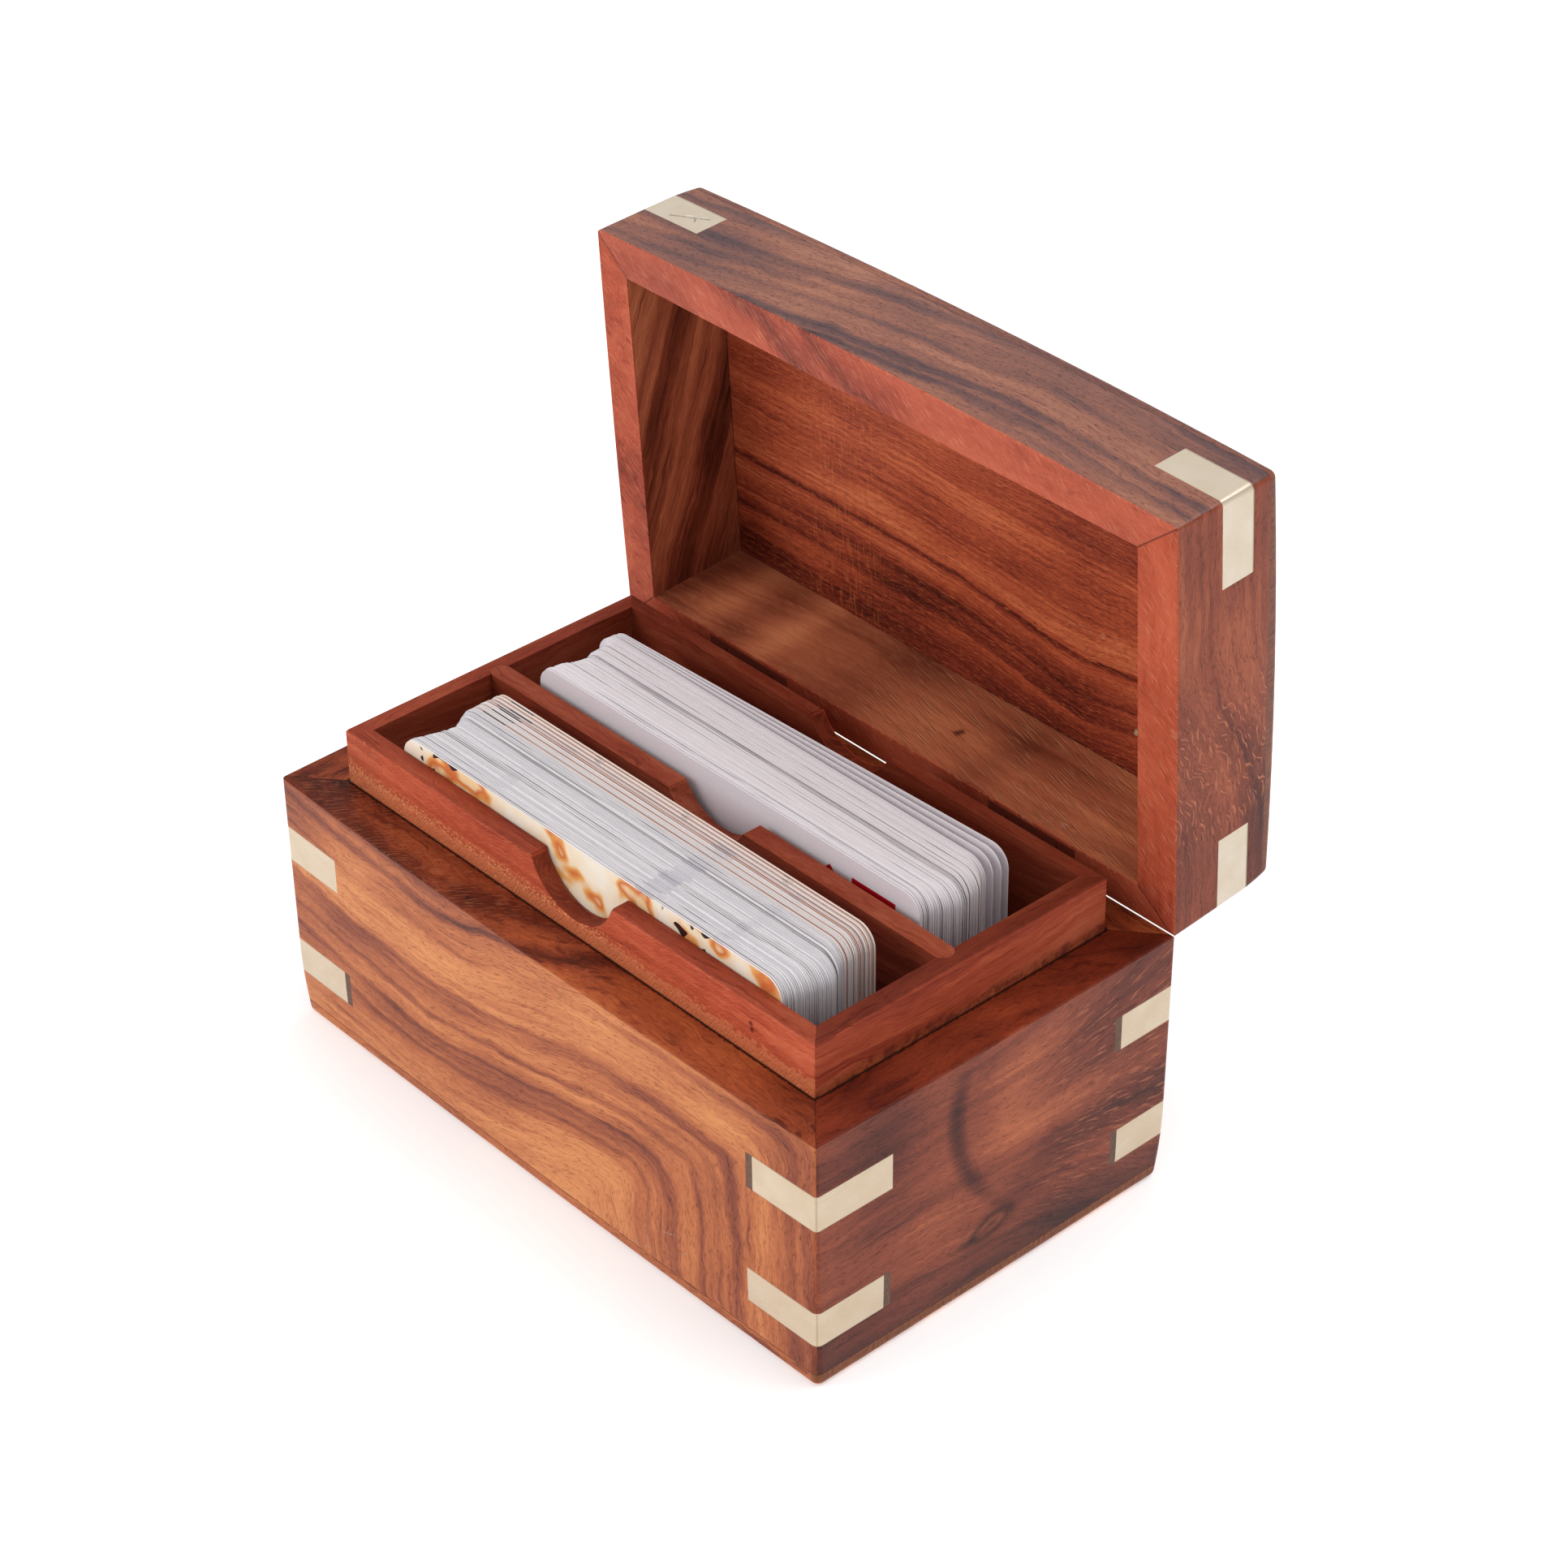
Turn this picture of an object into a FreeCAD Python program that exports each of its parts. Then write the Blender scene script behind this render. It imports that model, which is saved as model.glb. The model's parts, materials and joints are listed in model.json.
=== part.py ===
import FreeCAD, Part
import math
import os

from FreeCAD import Vector

os.makedirs("parts", exist_ok=True)

# A hinged wooden box for two decks of playing cards. Mitred, crowned outer walls stand on a
# bottom panel. A thin inner tray with a divider stands proud of the rim, and the lid shuts
# down over it. Flat strips are let in round every outer corner. Millimetres; X runs along the
# box, Y from its front to its hinged back, Z up; the origin is the middle of the underside.

# ---- playing cards, which set the size of everything round them
card_length = 88.9
card_width = 57.15
card_corner = 3.5
card_stock = 0.28
packet_gap = 0.12            # between a packet and the next one
deck_lift_off = 0.02         # under the cards, so that they only just rest

front_packet_counts = (28, 20)
front_card_pitch = 0.34      # a well-thumbed deck, so each card takes more than its stock
front_loose_count = 5
front_loose_step = 0.42
back_packet_counts = (27, 23)
back_card_pitch = 0.275
back_loose_count = 3
back_loose_step = 1.5

# ---- room round the cards
finger_room = 7.65           # beyond each end of a deck
front_deck_slack = 0.2       # before the front deck
front_room = 4.83            # behind the front deck
back_deck_slack = 1.4        # between the divider and the back deck
back_room = 6.2              # behind the back deck
card_show = 2.95             # how far the cards stand above the tray
lift_room = 7.3              # from the cards to the shut lid's ceiling
front_deck_shift = 0.2       # the decks stand a little off the middle
back_deck_shift = -1.0

# ---- boards
bottom_thickness = 2.8
tray_wall = 3.3
tray_back_wall = 2.9         # the tray's back wall is a little thinner
divider_thickness = 3.6
divider_housing = 1.3        # how far the divider's round ends go into the end walls
housing_clearance = 0.05
tray_proud = 9.8             # how far the tray stands above the base's rim
tray_arris = 0.4
tray_corner_round = 0.6
front_wall = 7.3
back_wall = 6.8
end_wall = 8.1               # left and right walls of the base
lid_left_clearance = 1.5     # between the tray and the shut lid
lid_right_clearance = 0.5
lid_back_clearance = 0.7
lid_sweep_clearance = 0.18   # as the lid's front swings past the tray's top corner
rim_gap = 0.1                # between the rims when the lid is shut
lid_panel_thickness = 3.45   # in the middle of the domed top

# ---- outer shape
front_crown = 1.15           # how far the front bellies out in the middle of the rim
end_crown = 0.3
base_crown_left = 0.35       # share of that crown left at the underside
lid_crown_left = 0.6         # share of it left at the lid's top
base_draw_in = 0.7           # each face draws in towards the underside
base_draw_height = 14.0
lid_draw_in = 0.7
lid_draw_height = 9.0
dome_along = 0.9             # fall of the lid's top from its middle to an end
dome_across = 0.9
corner_round = 0.6           # upright corner edges, at the rim
far_corner_round = 1.35      # upright corner edges, at the underside and the lid's top
edge_round = 1.3             # round the underside and the lid's top
rim_round = 0.3              # round both rims

# ---- thumb notches
notch_radius = 10.0
front_notch_depth = 7.2
divider_notch_depth = 5.1
back_notch_depth = 5.7
front_notch_shift = 0.9
divider_notch_shift = 0.7
back_notch_shift = 0.9

# ---- let-in corner strips
strip_height = 6.6
strip_reach = 13.4           # from the corner along each face
long_strip_reach = 15.0
short_strip_reach = 11.3
stopping_length = 1.4        # dark stopping past a strip whose slot was cut too long
strip_depth = 1.3
base_upper_strip_drop = 16.0   # from the rim down to the strip's lower edge
base_lower_strip_drop = 38.4
lid_strip_rise = 9.5           # from the rim up to the strip's lower edge

# ---- hinges
hinge_length = 19.0
hinge_centre = 33.0          # from the box's middle to each hinge's middle
leaf_thickness = 0.7
leaf_width = 5.0             # from the pin's centre
knuckle_radius = 1.15
knuckle_count = 3
knuckle_gap = 0.12
knuckle_relief = 0.15        # round the other leaf's knuckles
barrel_recess = 0.3          # wood cleared round the barrel
pin_radius = 0.55
pin_fit = 0.03
pin_inset = 0.5              # from the back face to the pin's centre
stop_gap = 0.2               # between the two bevels when the lid is open
lid_open_angle = 86.7

screw_radius = 0.5
screw_head_radius = 1.1
screw_head_depth = 0.6
screw_length = 5.5
screw_point = 1.2
screw_slot_width = 0.3
screw_slot_depth = 0.25
screw_from_pin = 2.9
screw_spread = 5.5           # each side of the hinge's middle

reach = 6.0                  # how far cutting tools run past what they cut
board_oversize = 1.5         # rough boards, as a multiple of the wall they are cut from

# ---- worked out from the sizes above
front_packets = [count * front_card_pitch for count in front_packet_counts]
back_packets = [count * back_card_pitch for count in back_packet_counts]


def deck_depth(packets, loose_count, loose_step):
    gaps = packet_gap * len(packets)
    return card_stock + gaps + sum(packets) + loose_count * loose_step


front_deck_depth = deck_depth(front_packets, front_loose_count, front_loose_step)
back_deck_depth = deck_depth(back_packets, back_loose_count, back_loose_step)
front_depth = front_deck_slack + front_deck_depth + front_room
back_depth = back_deck_slack + back_deck_depth + back_room

tray_half_x = (card_length + 2 * finger_room) / 2 + tray_wall
case_half_x = tray_half_x + end_wall
front_build = front_wall + tray_wall + front_depth
back_build = back_depth + tray_back_wall + back_wall
case_half_y = (front_build + divider_thickness + back_build) / 2
divider_front = front_build - case_half_y
divider_back = divider_front + divider_thickness
tray_front = front_wall - case_half_y
tray_back = case_half_y - back_wall
tray_top = bottom_thickness + card_width - card_show
rim = tray_top - tray_proud

lid_rim = rim + rim_gap
lid_ceiling = tray_top + card_show + lift_room
lid_top = lid_ceiling + lid_panel_thickness
pin_y = case_half_y - pin_inset
pin_z = rim + rim_gap / 2
pin = Vector(0, pin_y, pin_z)
sweep_radius = math.hypot(pin_y - tray_front, tray_top - pin_z) + lid_sweep_clearance
knuckle_length = hinge_length / knuckle_count

# Outlines as (left, front, right, back) limits.
case_outline = (-case_half_x, -case_half_y, case_half_x, case_half_y)
tray_outline = (-tray_half_x, tray_front, tray_half_x, tray_back)
compartments_outline = (
    tray_wall - tray_half_x, tray_front + tray_wall,
    tray_half_x - tray_wall, tray_back - tray_back_wall,
)
lid_opening_outline = (
    -tray_half_x - lid_left_clearance, pin_y - sweep_radius,
    tray_half_x + lid_right_clearance, tray_back + lid_back_clearance,
)


corners = {
    "front_left": (-1, -1),
    "front_right": (1, -1),
    "back_left": (-1, 1),
    "back_right": (1, 1),
}


# ---- shaping helpers
def prism(points, low, high):
    """Upright solid over a closed outline of (x, y) points."""
    corners = [Vector(x, y, low) for x, y in points]
    outline = Part.makePolygon(corners + corners[:1])
    return Part.Face(outline).extrude(Vector(0, 0, high - low))


def block(x, y, z):
    """Box from pairs of limits along each axis."""
    return Part.makeBox(x[1] - x[0], y[1] - y[0], z[1] - z[0], Vector(x[0], y[0], z[0]))


def rod_along_x(radius, x_low, x_high, y, z):
    return Part.makeCylinder(radius, x_high - x_low, Vector(x_low, y, z), Vector(1, 0, 0))


def turned(shape, quarter_turns):
    """Copy turned about the box's upright middle line."""
    copy = shape.copy()
    copy.rotate(Vector(0, 0, 0), Vector(0, 0, 1), 90 * quarter_turns)
    return copy


def side_cutter(half_span, half_depth, crown, crown_left, rim_z, far_z, draw_in, draw_height):
    """Everything outside the front face, which bellies out by the crown in the middle of its
    rim and draws in towards its far edge. Distances down the face start at the rim."""
    height = abs(far_z - rim_z)
    way = math.copysign(1.0, far_z - rim_z)
    half_width = half_span + reach
    end_rise = 1 - (half_width / half_span) ** 2
    rises = (end_rise, 2 - end_rise, end_rise)
    stations = (-half_width, 0.0, half_width)
    knots = (-reach, height - draw_height, height + reach)
    depths = (knots[0], (knots[0] + knots[1]) / 2, (knots[1] + knots[2]) / 2, knots[2])
    draw = draw_in * ((knots[2] - knots[1]) / draw_height) ** 2
    draws = (0.0, 0.0, 0.0, draw)
    poles = []
    for station, rise in zip(stations, rises):
        row = []
        for depth, inward in zip(depths, draws):
            fade = 1 - (1 - crown_left) * depth / height
            out = half_depth + crown * rise * fade - inward
            row.append(Vector(station, -out, rim_z + way * depth))
        poles.append(row)
    face = Part.BSplineSurface()
    face.buildFromPolesMultsKnots(poles, (3, 3), (3, 1, 3), (0, 1), knots, False, False, 2, 2)
    return face.toShape().extrude(Vector(0, -2 * reach, 0))


def dome_cutter():
    """Everything above the lid's gently domed top."""
    half_x = case_half_x + reach
    half_y = case_half_y + reach
    fall_x = dome_along * (half_x / case_half_x) ** 2
    fall_y = dome_across * (half_y / case_half_y) ** 2
    poles = []
    for x, fall_a in ((-half_x, -fall_x), (0, fall_x), (half_x, -fall_x)):
        row = []
        for y, fall_b in ((-half_y, -fall_y), (0, fall_y), (half_y, -fall_y)):
            row.append(Vector(x, y, lid_top + fall_a + fall_b))
        poles.append(row)
    face = Part.BSplineSurface()
    face.buildFromPolesMultsKnots(poles, (3, 3), (3, 3), (0, 1), (0, 1), False, False, 2, 2)
    return face.toShape().extrude(Vector(0, 0, 2 * reach))


def edges_near(shell, z, distance):
    """Edges that lie wholly within a distance of a level."""
    low, high = z - distance, z + distance
    return [e for e in shell.Edges if low < e.BoundBox.ZMin and e.BoundBox.ZMax < high]


def corner_edge(shell, side_x, side_y, least_height):
    """The tall edge that lies farthest out towards one corner."""
    tall = [e for e in shell.Edges if e.BoundBox.ZLength > least_height]
    places = [e.BoundBox.Center for e in tall]
    reaches = [side_x * place.x + side_y * place.y for place in places]
    return tall[reaches.index(max(reaches))]


def rounded_shell(rim_z, far_z, crown_left, draw_in, draw_height, extra_cutters):
    """Solid of the base's or the lid's whole outer shape."""
    low, high = sorted((rim_z, far_z))
    half_x = case_half_x + reach / 2
    half_y = case_half_y + reach / 2
    shell = block((-half_x, half_x), (-half_y, half_y), (low, high))
    sides = (
        (0, case_half_x, case_half_y, front_crown),
        (1, case_half_y, case_half_x, end_crown),
        (2, case_half_x, case_half_y, 0.0),
        (3, case_half_y, case_half_x, end_crown),
    )
    for turn, half_span, half_depth, crown in sides:
        cutter = side_cutter(
            half_span, half_depth, crown, crown_left, rim_z, far_z, draw_in, draw_height
        )
        shell = shell.cut(turned(cutter, turn))
    for cutter in extra_cutters:
        shell = shell.cut(cutter)
    for side_x, side_y in corners.values():
        upright = corner_edge(shell, side_x, side_y, (high - low) / 2)
        radii = [corner_round, far_corner_round]
        ends = [vertex.Point.z for vertex in upright.Vertexes]
        if abs(ends[0] - far_z) < abs(ends[-1] - far_z):
            radii.reverse()
        shell = shell.makeFillet(radii[0], radii[1], [upright])
    shell = shell.makeFillet(edge_round, edges_near(shell, far_z, (high - low) / 2))
    return shell.makeFillet(rim_round, edges_near(shell, rim_z, rim_round))


def mitred_boards(outer, inner, low, high):
    """Rough front, right, back and left boards of a mitred frame between two outlines. They run
    past the outer one, and each mitre passes through an outer and an inner corner."""
    near = [(inner[i], inner[j]) for i, j in ((0, 1), (2, 1), (2, 3), (0, 3))]
    true = [(outer[i], outer[j]) for i, j in ((0, 1), (2, 1), (2, 3), (0, 3))]
    far = []
    for (near_x, near_y), (true_x, true_y) in zip(near, true):
        far.append((near_x + board_oversize * (true_x - near_x),
                    near_y + board_oversize * (true_y - near_y)))
    boards = {}
    for number, name in enumerate(("front", "right", "back", "left")):
        after = (number + 1) % 4
        outline = (near[number], near[after], far[after], far[number])
        boards[name] = prism(outline, low, high)
    return boards


def opened(shape):
    """Copy of a piece of the shut lid, swung open about the hinge pins."""
    copy = shape.copy()
    copy.rotate(pin, Vector(1, 0, 0), -lid_open_angle)
    return copy


def save(name, *solids):
    shape = solids[0] if len(solids) == 1 else Part.makeCompound(list(solids))
    shape.exportStep("parts/" + name + ".step")


def back_bevel(way):
    """What is taken off a back rim edge, so that the open lid comes to rest bevel to bevel:
    way is 1 for the base's edge and -1 for the lid's."""
    far = pin_z + way * reach
    span = (-case_half_x - reach, case_half_x + reach)
    tool = block(span, (pin_y - reach, pin_y + reach), sorted((pin_z, far)))
    tool.translate(Vector(0, 0, -way * stop_gap / 2))
    tool.rotate(pin, Vector(1, 0, 0), -way * lid_open_angle / 2)
    return tool


# ---- outer shapes
base_shell = rounded_shell(rim, 0.0, base_crown_left, base_draw_in, base_draw_height, ())
base_shell = base_shell.cut(back_bevel(1))
lid_shell = rounded_shell(
    lid_rim, lid_top, lid_crown_left, lid_draw_in, lid_draw_height, (dome_cutter(),)
)
lid_shell = lid_shell.cut(back_bevel(-1))

# ---- corner strips: on each corner one strip per face, mitred on the corner edge. The first
# kind at a corner is the strip on the front or back face, the second the one on the end face.
strip_kinds = {
    "full": (strip_reach, 0),
    "packed": (strip_reach, stopping_length),
    "long": (long_strip_reach, 0),
    "short": (short_strip_reach, stopping_length),
}
strips_at = {
    "base_strips_upper_front_left": ("full", "packed"),
    "base_strips_upper_front_right": ("packed", "long"),
    "base_strips_upper_back_left": ("packed", "full"),
    "base_strips_upper_back_right": ("full", "short"),
    "base_strips_lower_front_left": ("packed", "full"),
    "base_strips_lower_front_right": ("long", "packed"),
    "base_strips_lower_back_left": ("full", "packed"),
    "base_strips_lower_back_right": ("packed", "short"),
    "lid_strips_front_left": ("full", "full"),
    "lid_strips_front_right": ("full", "long"),
    "lid_strips_back_left": ("long", "full"),
    "lid_strips_back_right": ("full", "full"),
}
strip_levels = {
    "base_strips_upper_": rim - base_upper_strip_drop,
    "base_strips_lower_": rim - base_lower_strip_drop,
    "lid_strips_": lid_rim + lid_strip_rise,
}


def strip_outlines(side_x, side_y, reach_x, reach_y):
    """Outlines of a corner's two strips, over-long outwards."""
    inner = (case_half_x - strip_depth, case_half_y - strip_depth)
    outer = (case_half_x + reach, case_half_y + reach)
    start_x = case_half_x - reach_x
    start_y = case_half_y - reach_y
    along_x = ((start_x, inner[1]), inner, outer, (start_x, outer[1]))
    along_y = ((inner[0], start_y), inner, outer, (outer[0], start_y))
    return [[(side_x * x, side_y * y) for x, y in line] for line in (along_x, along_y)]


base_pockets = []
lid_pockets = []
fillers = []
for level, low in strip_levels.items():
    for corner, (side_x, side_y) in corners.items():
        node = level + corner
        kinds = [strip_kinds[kind] for kind in strips_at[node]]
        strip_ends = [strip for strip, extra in kinds]
        slot_ends = [strip + extra for strip, extra in kinds]
        strip_lines = strip_outlines(side_x, side_y, *strip_ends)
        slot_lines = strip_outlines(side_x, side_y, *slot_ends)
        strips = [prism(line, low, low + strip_height) for line in strip_lines]
        slots = [prism(line, low, low + strip_height) for line in slot_lines]
        if node.startswith("lid"):
            lid_pockets += slots
            save(node, *[opened(strip.common(lid_shell)) for strip in strips])
        else:
            base_pockets += slots
            save(node, *[strip.common(base_shell) for strip in strips])
            for strip, slot, (length, extra) in zip(strips, slots, kinds):
                if extra > 0:
                    fillers.append(slot.cut(strip).common(base_shell))
save("base_strip_fillers", *fillers)


# ---- hinges: plain three-knuckle butts, let flush into both rims, barrel at the back edge
def knuckle_spans(centre, first, shrink):
    """X limits of every other knuckle, starting with the numbered one."""
    start = centre - hinge_length / 2
    spans = []
    for number in range(first, knuckle_count, 2):
        low = start + number * knuckle_length
        spans.append((low + shrink, low + knuckle_length - shrink))
    return spans


def leaf(centre, first_knuckle, z_low, z_high):
    """One hinge leaf with its own knuckles, cleared round the other leaf's."""
    ends = (centre - hinge_length / 2, centre + hinge_length / 2)
    shape = block(ends, (pin_y - leaf_width, pin_y), (z_low, z_high))
    for low, high in knuckle_spans(centre, 1 - first_knuckle, -knuckle_gap / 2):
        shape = shape.cut(rod_along_x(knuckle_radius + knuckle_relief, low, high, pin_y, pin_z))
    for low, high in knuckle_spans(centre, first_knuckle, knuckle_gap / 2):
        shape = shape.fuse(rod_along_x(knuckle_radius, low, high, pin_y, pin_z))
    bore = rod_along_x(pin_radius + pin_fit, ends[0] - reach, ends[1] + reach, pin_y, pin_z)
    return shape.cut(bore)


def screw(x, z_face, way):
    """Countersunk slotted screw; way is -1 where it is driven down, +1 where it is driven up."""
    axis = Vector(0, 0, way)
    top = Vector(x, pin_y - screw_from_pin, z_face)
    shank = screw_length - screw_head_depth - screw_point
    head = Part.makeCone(screw_head_radius, screw_radius, screw_head_depth, top, axis)
    body = Part.makeCylinder(screw_radius, shank, top + axis * screw_head_depth, axis)
    point = Part.makeCone(screw_radius, 0, screw_point, top + axis * (screw_head_depth + shank), axis)
    return head.fuse(body).fuse(point).removeSplitter()


def screw_slot(x, z_face):
    y = pin_y - screw_from_pin
    half = screw_slot_width / 2
    depths = (z_face - screw_slot_depth, z_face + screw_slot_depth)
    return block((x - half, x + half), (y - screw_head_radius, y + screw_head_radius), depths)


base_back_cuts = []
lid_back_cuts = []
for side, centre in (("left", -hinge_centre), ("right", hinge_centre)):
    ends = (centre - hinge_length / 2, centre + hinge_length / 2)
    base_leaf = leaf(centre, 0, rim - leaf_thickness, rim)
    lid_leaf = leaf(centre, 1, lid_rim, lid_rim + leaf_thickness)
    places = (centre - screw_spread, centre + screw_spread)
    base_screws = [screw(x, rim, -1) for x in places]
    lid_screws = [screw(x, lid_rim, 1) for x in places]
    for part_screw in base_screws:
        base_leaf = base_leaf.cut(part_screw)
    for part_screw in lid_screws:
        lid_leaf = lid_leaf.cut(part_screw)
    recess = rod_along_x(knuckle_radius + barrel_recess, ends[0], ends[1], pin_y, pin_z)
    seat_y = (pin_y - leaf_width, pin_y + reach)
    base_back_cuts += [recess, block(ends, seat_y, (rim - leaf_thickness, rim + reach))]
    lid_back_cuts += [recess, block(ends, seat_y, (lid_rim - reach, lid_rim + leaf_thickness))]
    base_back_cuts += base_screws
    lid_back_cuts += lid_screws
    slotted_base = [s.cut(screw_slot(x, rim)) for s, x in zip(base_screws, places)]
    slotted_lid = [s.cut(screw_slot(x, lid_rim)) for s, x in zip(lid_screws, places)]
    save(side + "_hinge_base_leaf", base_leaf)
    save(side + "_hinge_lid_leaf", opened(lid_leaf))
    save(side + "_hinge_pin", rod_along_x(pin_radius, ends[0], ends[1], pin_y, pin_z))
    save(side + "_hinge_base_screws", *slotted_base)
    save(side + "_hinge_lid_screws", *[opened(s) for s in slotted_lid])

# ---- base: four mitred walls on a bottom panel
base_boards = mitred_boards(case_outline, tray_outline, bottom_thickness, rim)
for name, board in base_boards.items():
    wall = board.common(base_shell)
    for pocket in base_pockets:
        wall = wall.cut(pocket)
    if name == "back":
        for cut in base_back_cuts:
            wall = wall.cut(cut)
    save("base_" + name + "_wall", wall)

panel_x = (-case_half_x - reach, case_half_x + reach)
panel_y = (-case_half_y - reach, case_half_y + reach)
save("base_bottom_panel", block(panel_x, panel_y, (-reach, bottom_thickness)).common(base_shell))


# ---- tray: four mitred walls inside the base, standing proud of it, and a divider
def notch(shift, depth):
    """Scoop for a thumb through the tray's front, divider or back."""
    centre = Vector(shift, -case_half_y, tray_top - depth + notch_radius)
    return Part.makeCylinder(notch_radius, 2 * case_half_y, centre, Vector(0, 1, 0))


def divider_end(side, slack):
    """Round end of the divider, or the housing it goes into."""
    radius = divider_thickness / 2
    x = side * (tray_half_x - tray_wall + divider_housing - radius)
    y = (divider_front + divider_back) / 2
    return Part.makeCylinder(
        radius + slack, tray_top - bottom_thickness, Vector(x, y, bottom_thickness)
    )


tray_solid = block(
    (-tray_half_x, tray_half_x), (tray_front, tray_back), (bottom_thickness, tray_top)
)
uprights = [e for e in tray_solid.Edges if e.BoundBox.ZLength > tray_proud]
tray_solid = tray_solid.makeFillet(tray_corner_round, uprights)
tray_solid = tray_solid.makeChamfer(tray_arris, edges_near(tray_solid, tray_top, tray_arris))
tray_boards = mitred_boards(tray_outline, compartments_outline, bottom_thickness, tray_top)
tray_cuts = {
    "front": notch(front_notch_shift, front_notch_depth),
    "back": notch(back_notch_shift, back_notch_depth),
    "left": divider_end(-1, housing_clearance),
    "right": divider_end(1, housing_clearance),
}
for name, board in tray_boards.items():
    save("tray_" + name + "_wall", board.common(tray_solid).cut(tray_cuts[name]))

divider_half = tray_half_x - tray_wall + divider_housing - divider_thickness / 2
divider = block(
    (-divider_half, divider_half), (divider_front, divider_back), (bottom_thickness, tray_top)
)
for side in (-1, 1):
    divider = divider.fuse(divider_end(side, 0.0))
divider = divider.removeSplitter()
save("tray_divider", divider.cut(notch(divider_notch_shift, divider_notch_depth)))

# ---- lid: four mitred walls under a planted top panel
lid_boards = mitred_boards(case_outline, lid_opening_outline, lid_rim, lid_ceiling)
for name, board in lid_boards.items():
    wall = board.common(lid_shell)
    for pocket in lid_pockets:
        wall = wall.cut(pocket)
    if name == "back":
        for cut in lid_back_cuts:
            wall = wall.cut(cut)
    save("lid_" + name + "_wall", opened(wall))
top_panel = block(panel_x, panel_y, (lid_ceiling, lid_top + reach)).common(lid_shell)
save("lid_top_panel", opened(top_panel))


# ---- playing cards, standing on their long edges
def cards(x_middle, y_front, thickness):
    """A card, or a packet of cards pressed together."""
    half = card_length / 2 - card_corner
    low = bottom_thickness + deck_lift_off
    high = low + card_width
    left, right = x_middle - half, x_middle + half
    turns = (
        (Vector(left, y_front, high - card_corner), 180, 90),
        (Vector(right, y_front, high - card_corner), 90, 0),
        (Vector(right, y_front, low + card_corner), 0, -90),
        (Vector(left, y_front, low + card_corner), -90, -180),
    )
    arcs = []
    for centre, start, end in turns:
        points = []
        for angle in (start, (start + end) / 2, end):
            across = math.cos(math.radians(angle))
            up = math.sin(math.radians(angle))
            points.append(centre + Vector(across, 0, up) * card_corner)
        arcs.append(points)
    edges = []
    for number, points in enumerate(arcs):
        edges.append(Part.Arc(*points).toShape())
        edges.append(Part.makeLine(points[2], arcs[(number + 1) % 4][0]))
    return Part.Face(Part.Wire(edges)).extrude(Vector(0, thickness, 0))


def save_deck(name, x_middle, y_start, packets, loose_count, loose_step):
    save(name + "_face_card", cards(x_middle, y_start, card_stock))
    y = y_start + card_stock + packet_gap
    for place, thickness in zip(("front", "back"), packets):
        save(name + "_" + place + "_packet", cards(x_middle, y, thickness))
        y += thickness + packet_gap
    loose = []
    for number in range(loose_count):
        loose.append(cards(x_middle, y + (number + 1) * loose_step - card_stock, card_stock))
    save(name + "_loose_cards", *loose)


save_deck("front_deck", front_deck_shift, tray_front + tray_wall + front_deck_slack,
          front_packets, front_loose_count, front_loose_step)
save_deck("back_deck", back_deck_shift, divider_back + back_deck_slack,
          back_packets, back_loose_count, back_loose_step)
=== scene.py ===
import json
import math
import random

import bpy
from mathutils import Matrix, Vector


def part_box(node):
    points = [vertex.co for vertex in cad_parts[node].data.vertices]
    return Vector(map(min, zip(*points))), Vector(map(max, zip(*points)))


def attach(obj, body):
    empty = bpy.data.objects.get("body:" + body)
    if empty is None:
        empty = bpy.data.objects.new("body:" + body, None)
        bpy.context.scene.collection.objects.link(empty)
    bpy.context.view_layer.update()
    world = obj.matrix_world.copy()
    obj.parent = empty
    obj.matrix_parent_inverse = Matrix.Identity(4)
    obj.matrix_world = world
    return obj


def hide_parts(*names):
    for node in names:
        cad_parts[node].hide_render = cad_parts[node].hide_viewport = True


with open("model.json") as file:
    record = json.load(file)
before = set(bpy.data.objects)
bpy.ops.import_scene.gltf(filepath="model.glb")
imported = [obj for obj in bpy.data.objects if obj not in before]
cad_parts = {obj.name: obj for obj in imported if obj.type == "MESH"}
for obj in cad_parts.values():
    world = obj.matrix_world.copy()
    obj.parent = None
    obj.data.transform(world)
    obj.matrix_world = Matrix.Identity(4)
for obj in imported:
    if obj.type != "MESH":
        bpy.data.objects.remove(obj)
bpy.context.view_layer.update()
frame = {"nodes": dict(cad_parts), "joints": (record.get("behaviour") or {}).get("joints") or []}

# ---- camera: a long lens that looks down on the box from its right front corner, so that the
# decks, the tray and the lid's inside all show.
image_side = 1932
focal_pixels = 5044.4
sensor = 36.0                # millimetres
camera_place = (0.394863, -0.339385, 0.419757)
camera_turn = (55.37089, 0.503877, 47.788131)   # degrees about X, Y and Z

lens = bpy.data.cameras.new("camera")
lens.sensor_width = sensor
lens.lens = focal_pixels * sensor / image_side
lens.clip_start = 0.01
camera = bpy.data.objects.new("camera", lens)
camera.location = camera_place
camera.rotation_euler = [math.radians(angle) for angle in camera_turn]
bpy.context.scene.collection.objects.link(camera)
bpy.context.scene.camera = camera
bpy.context.scene.view_settings.view_transform = "Standard"   # colours as they are


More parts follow.
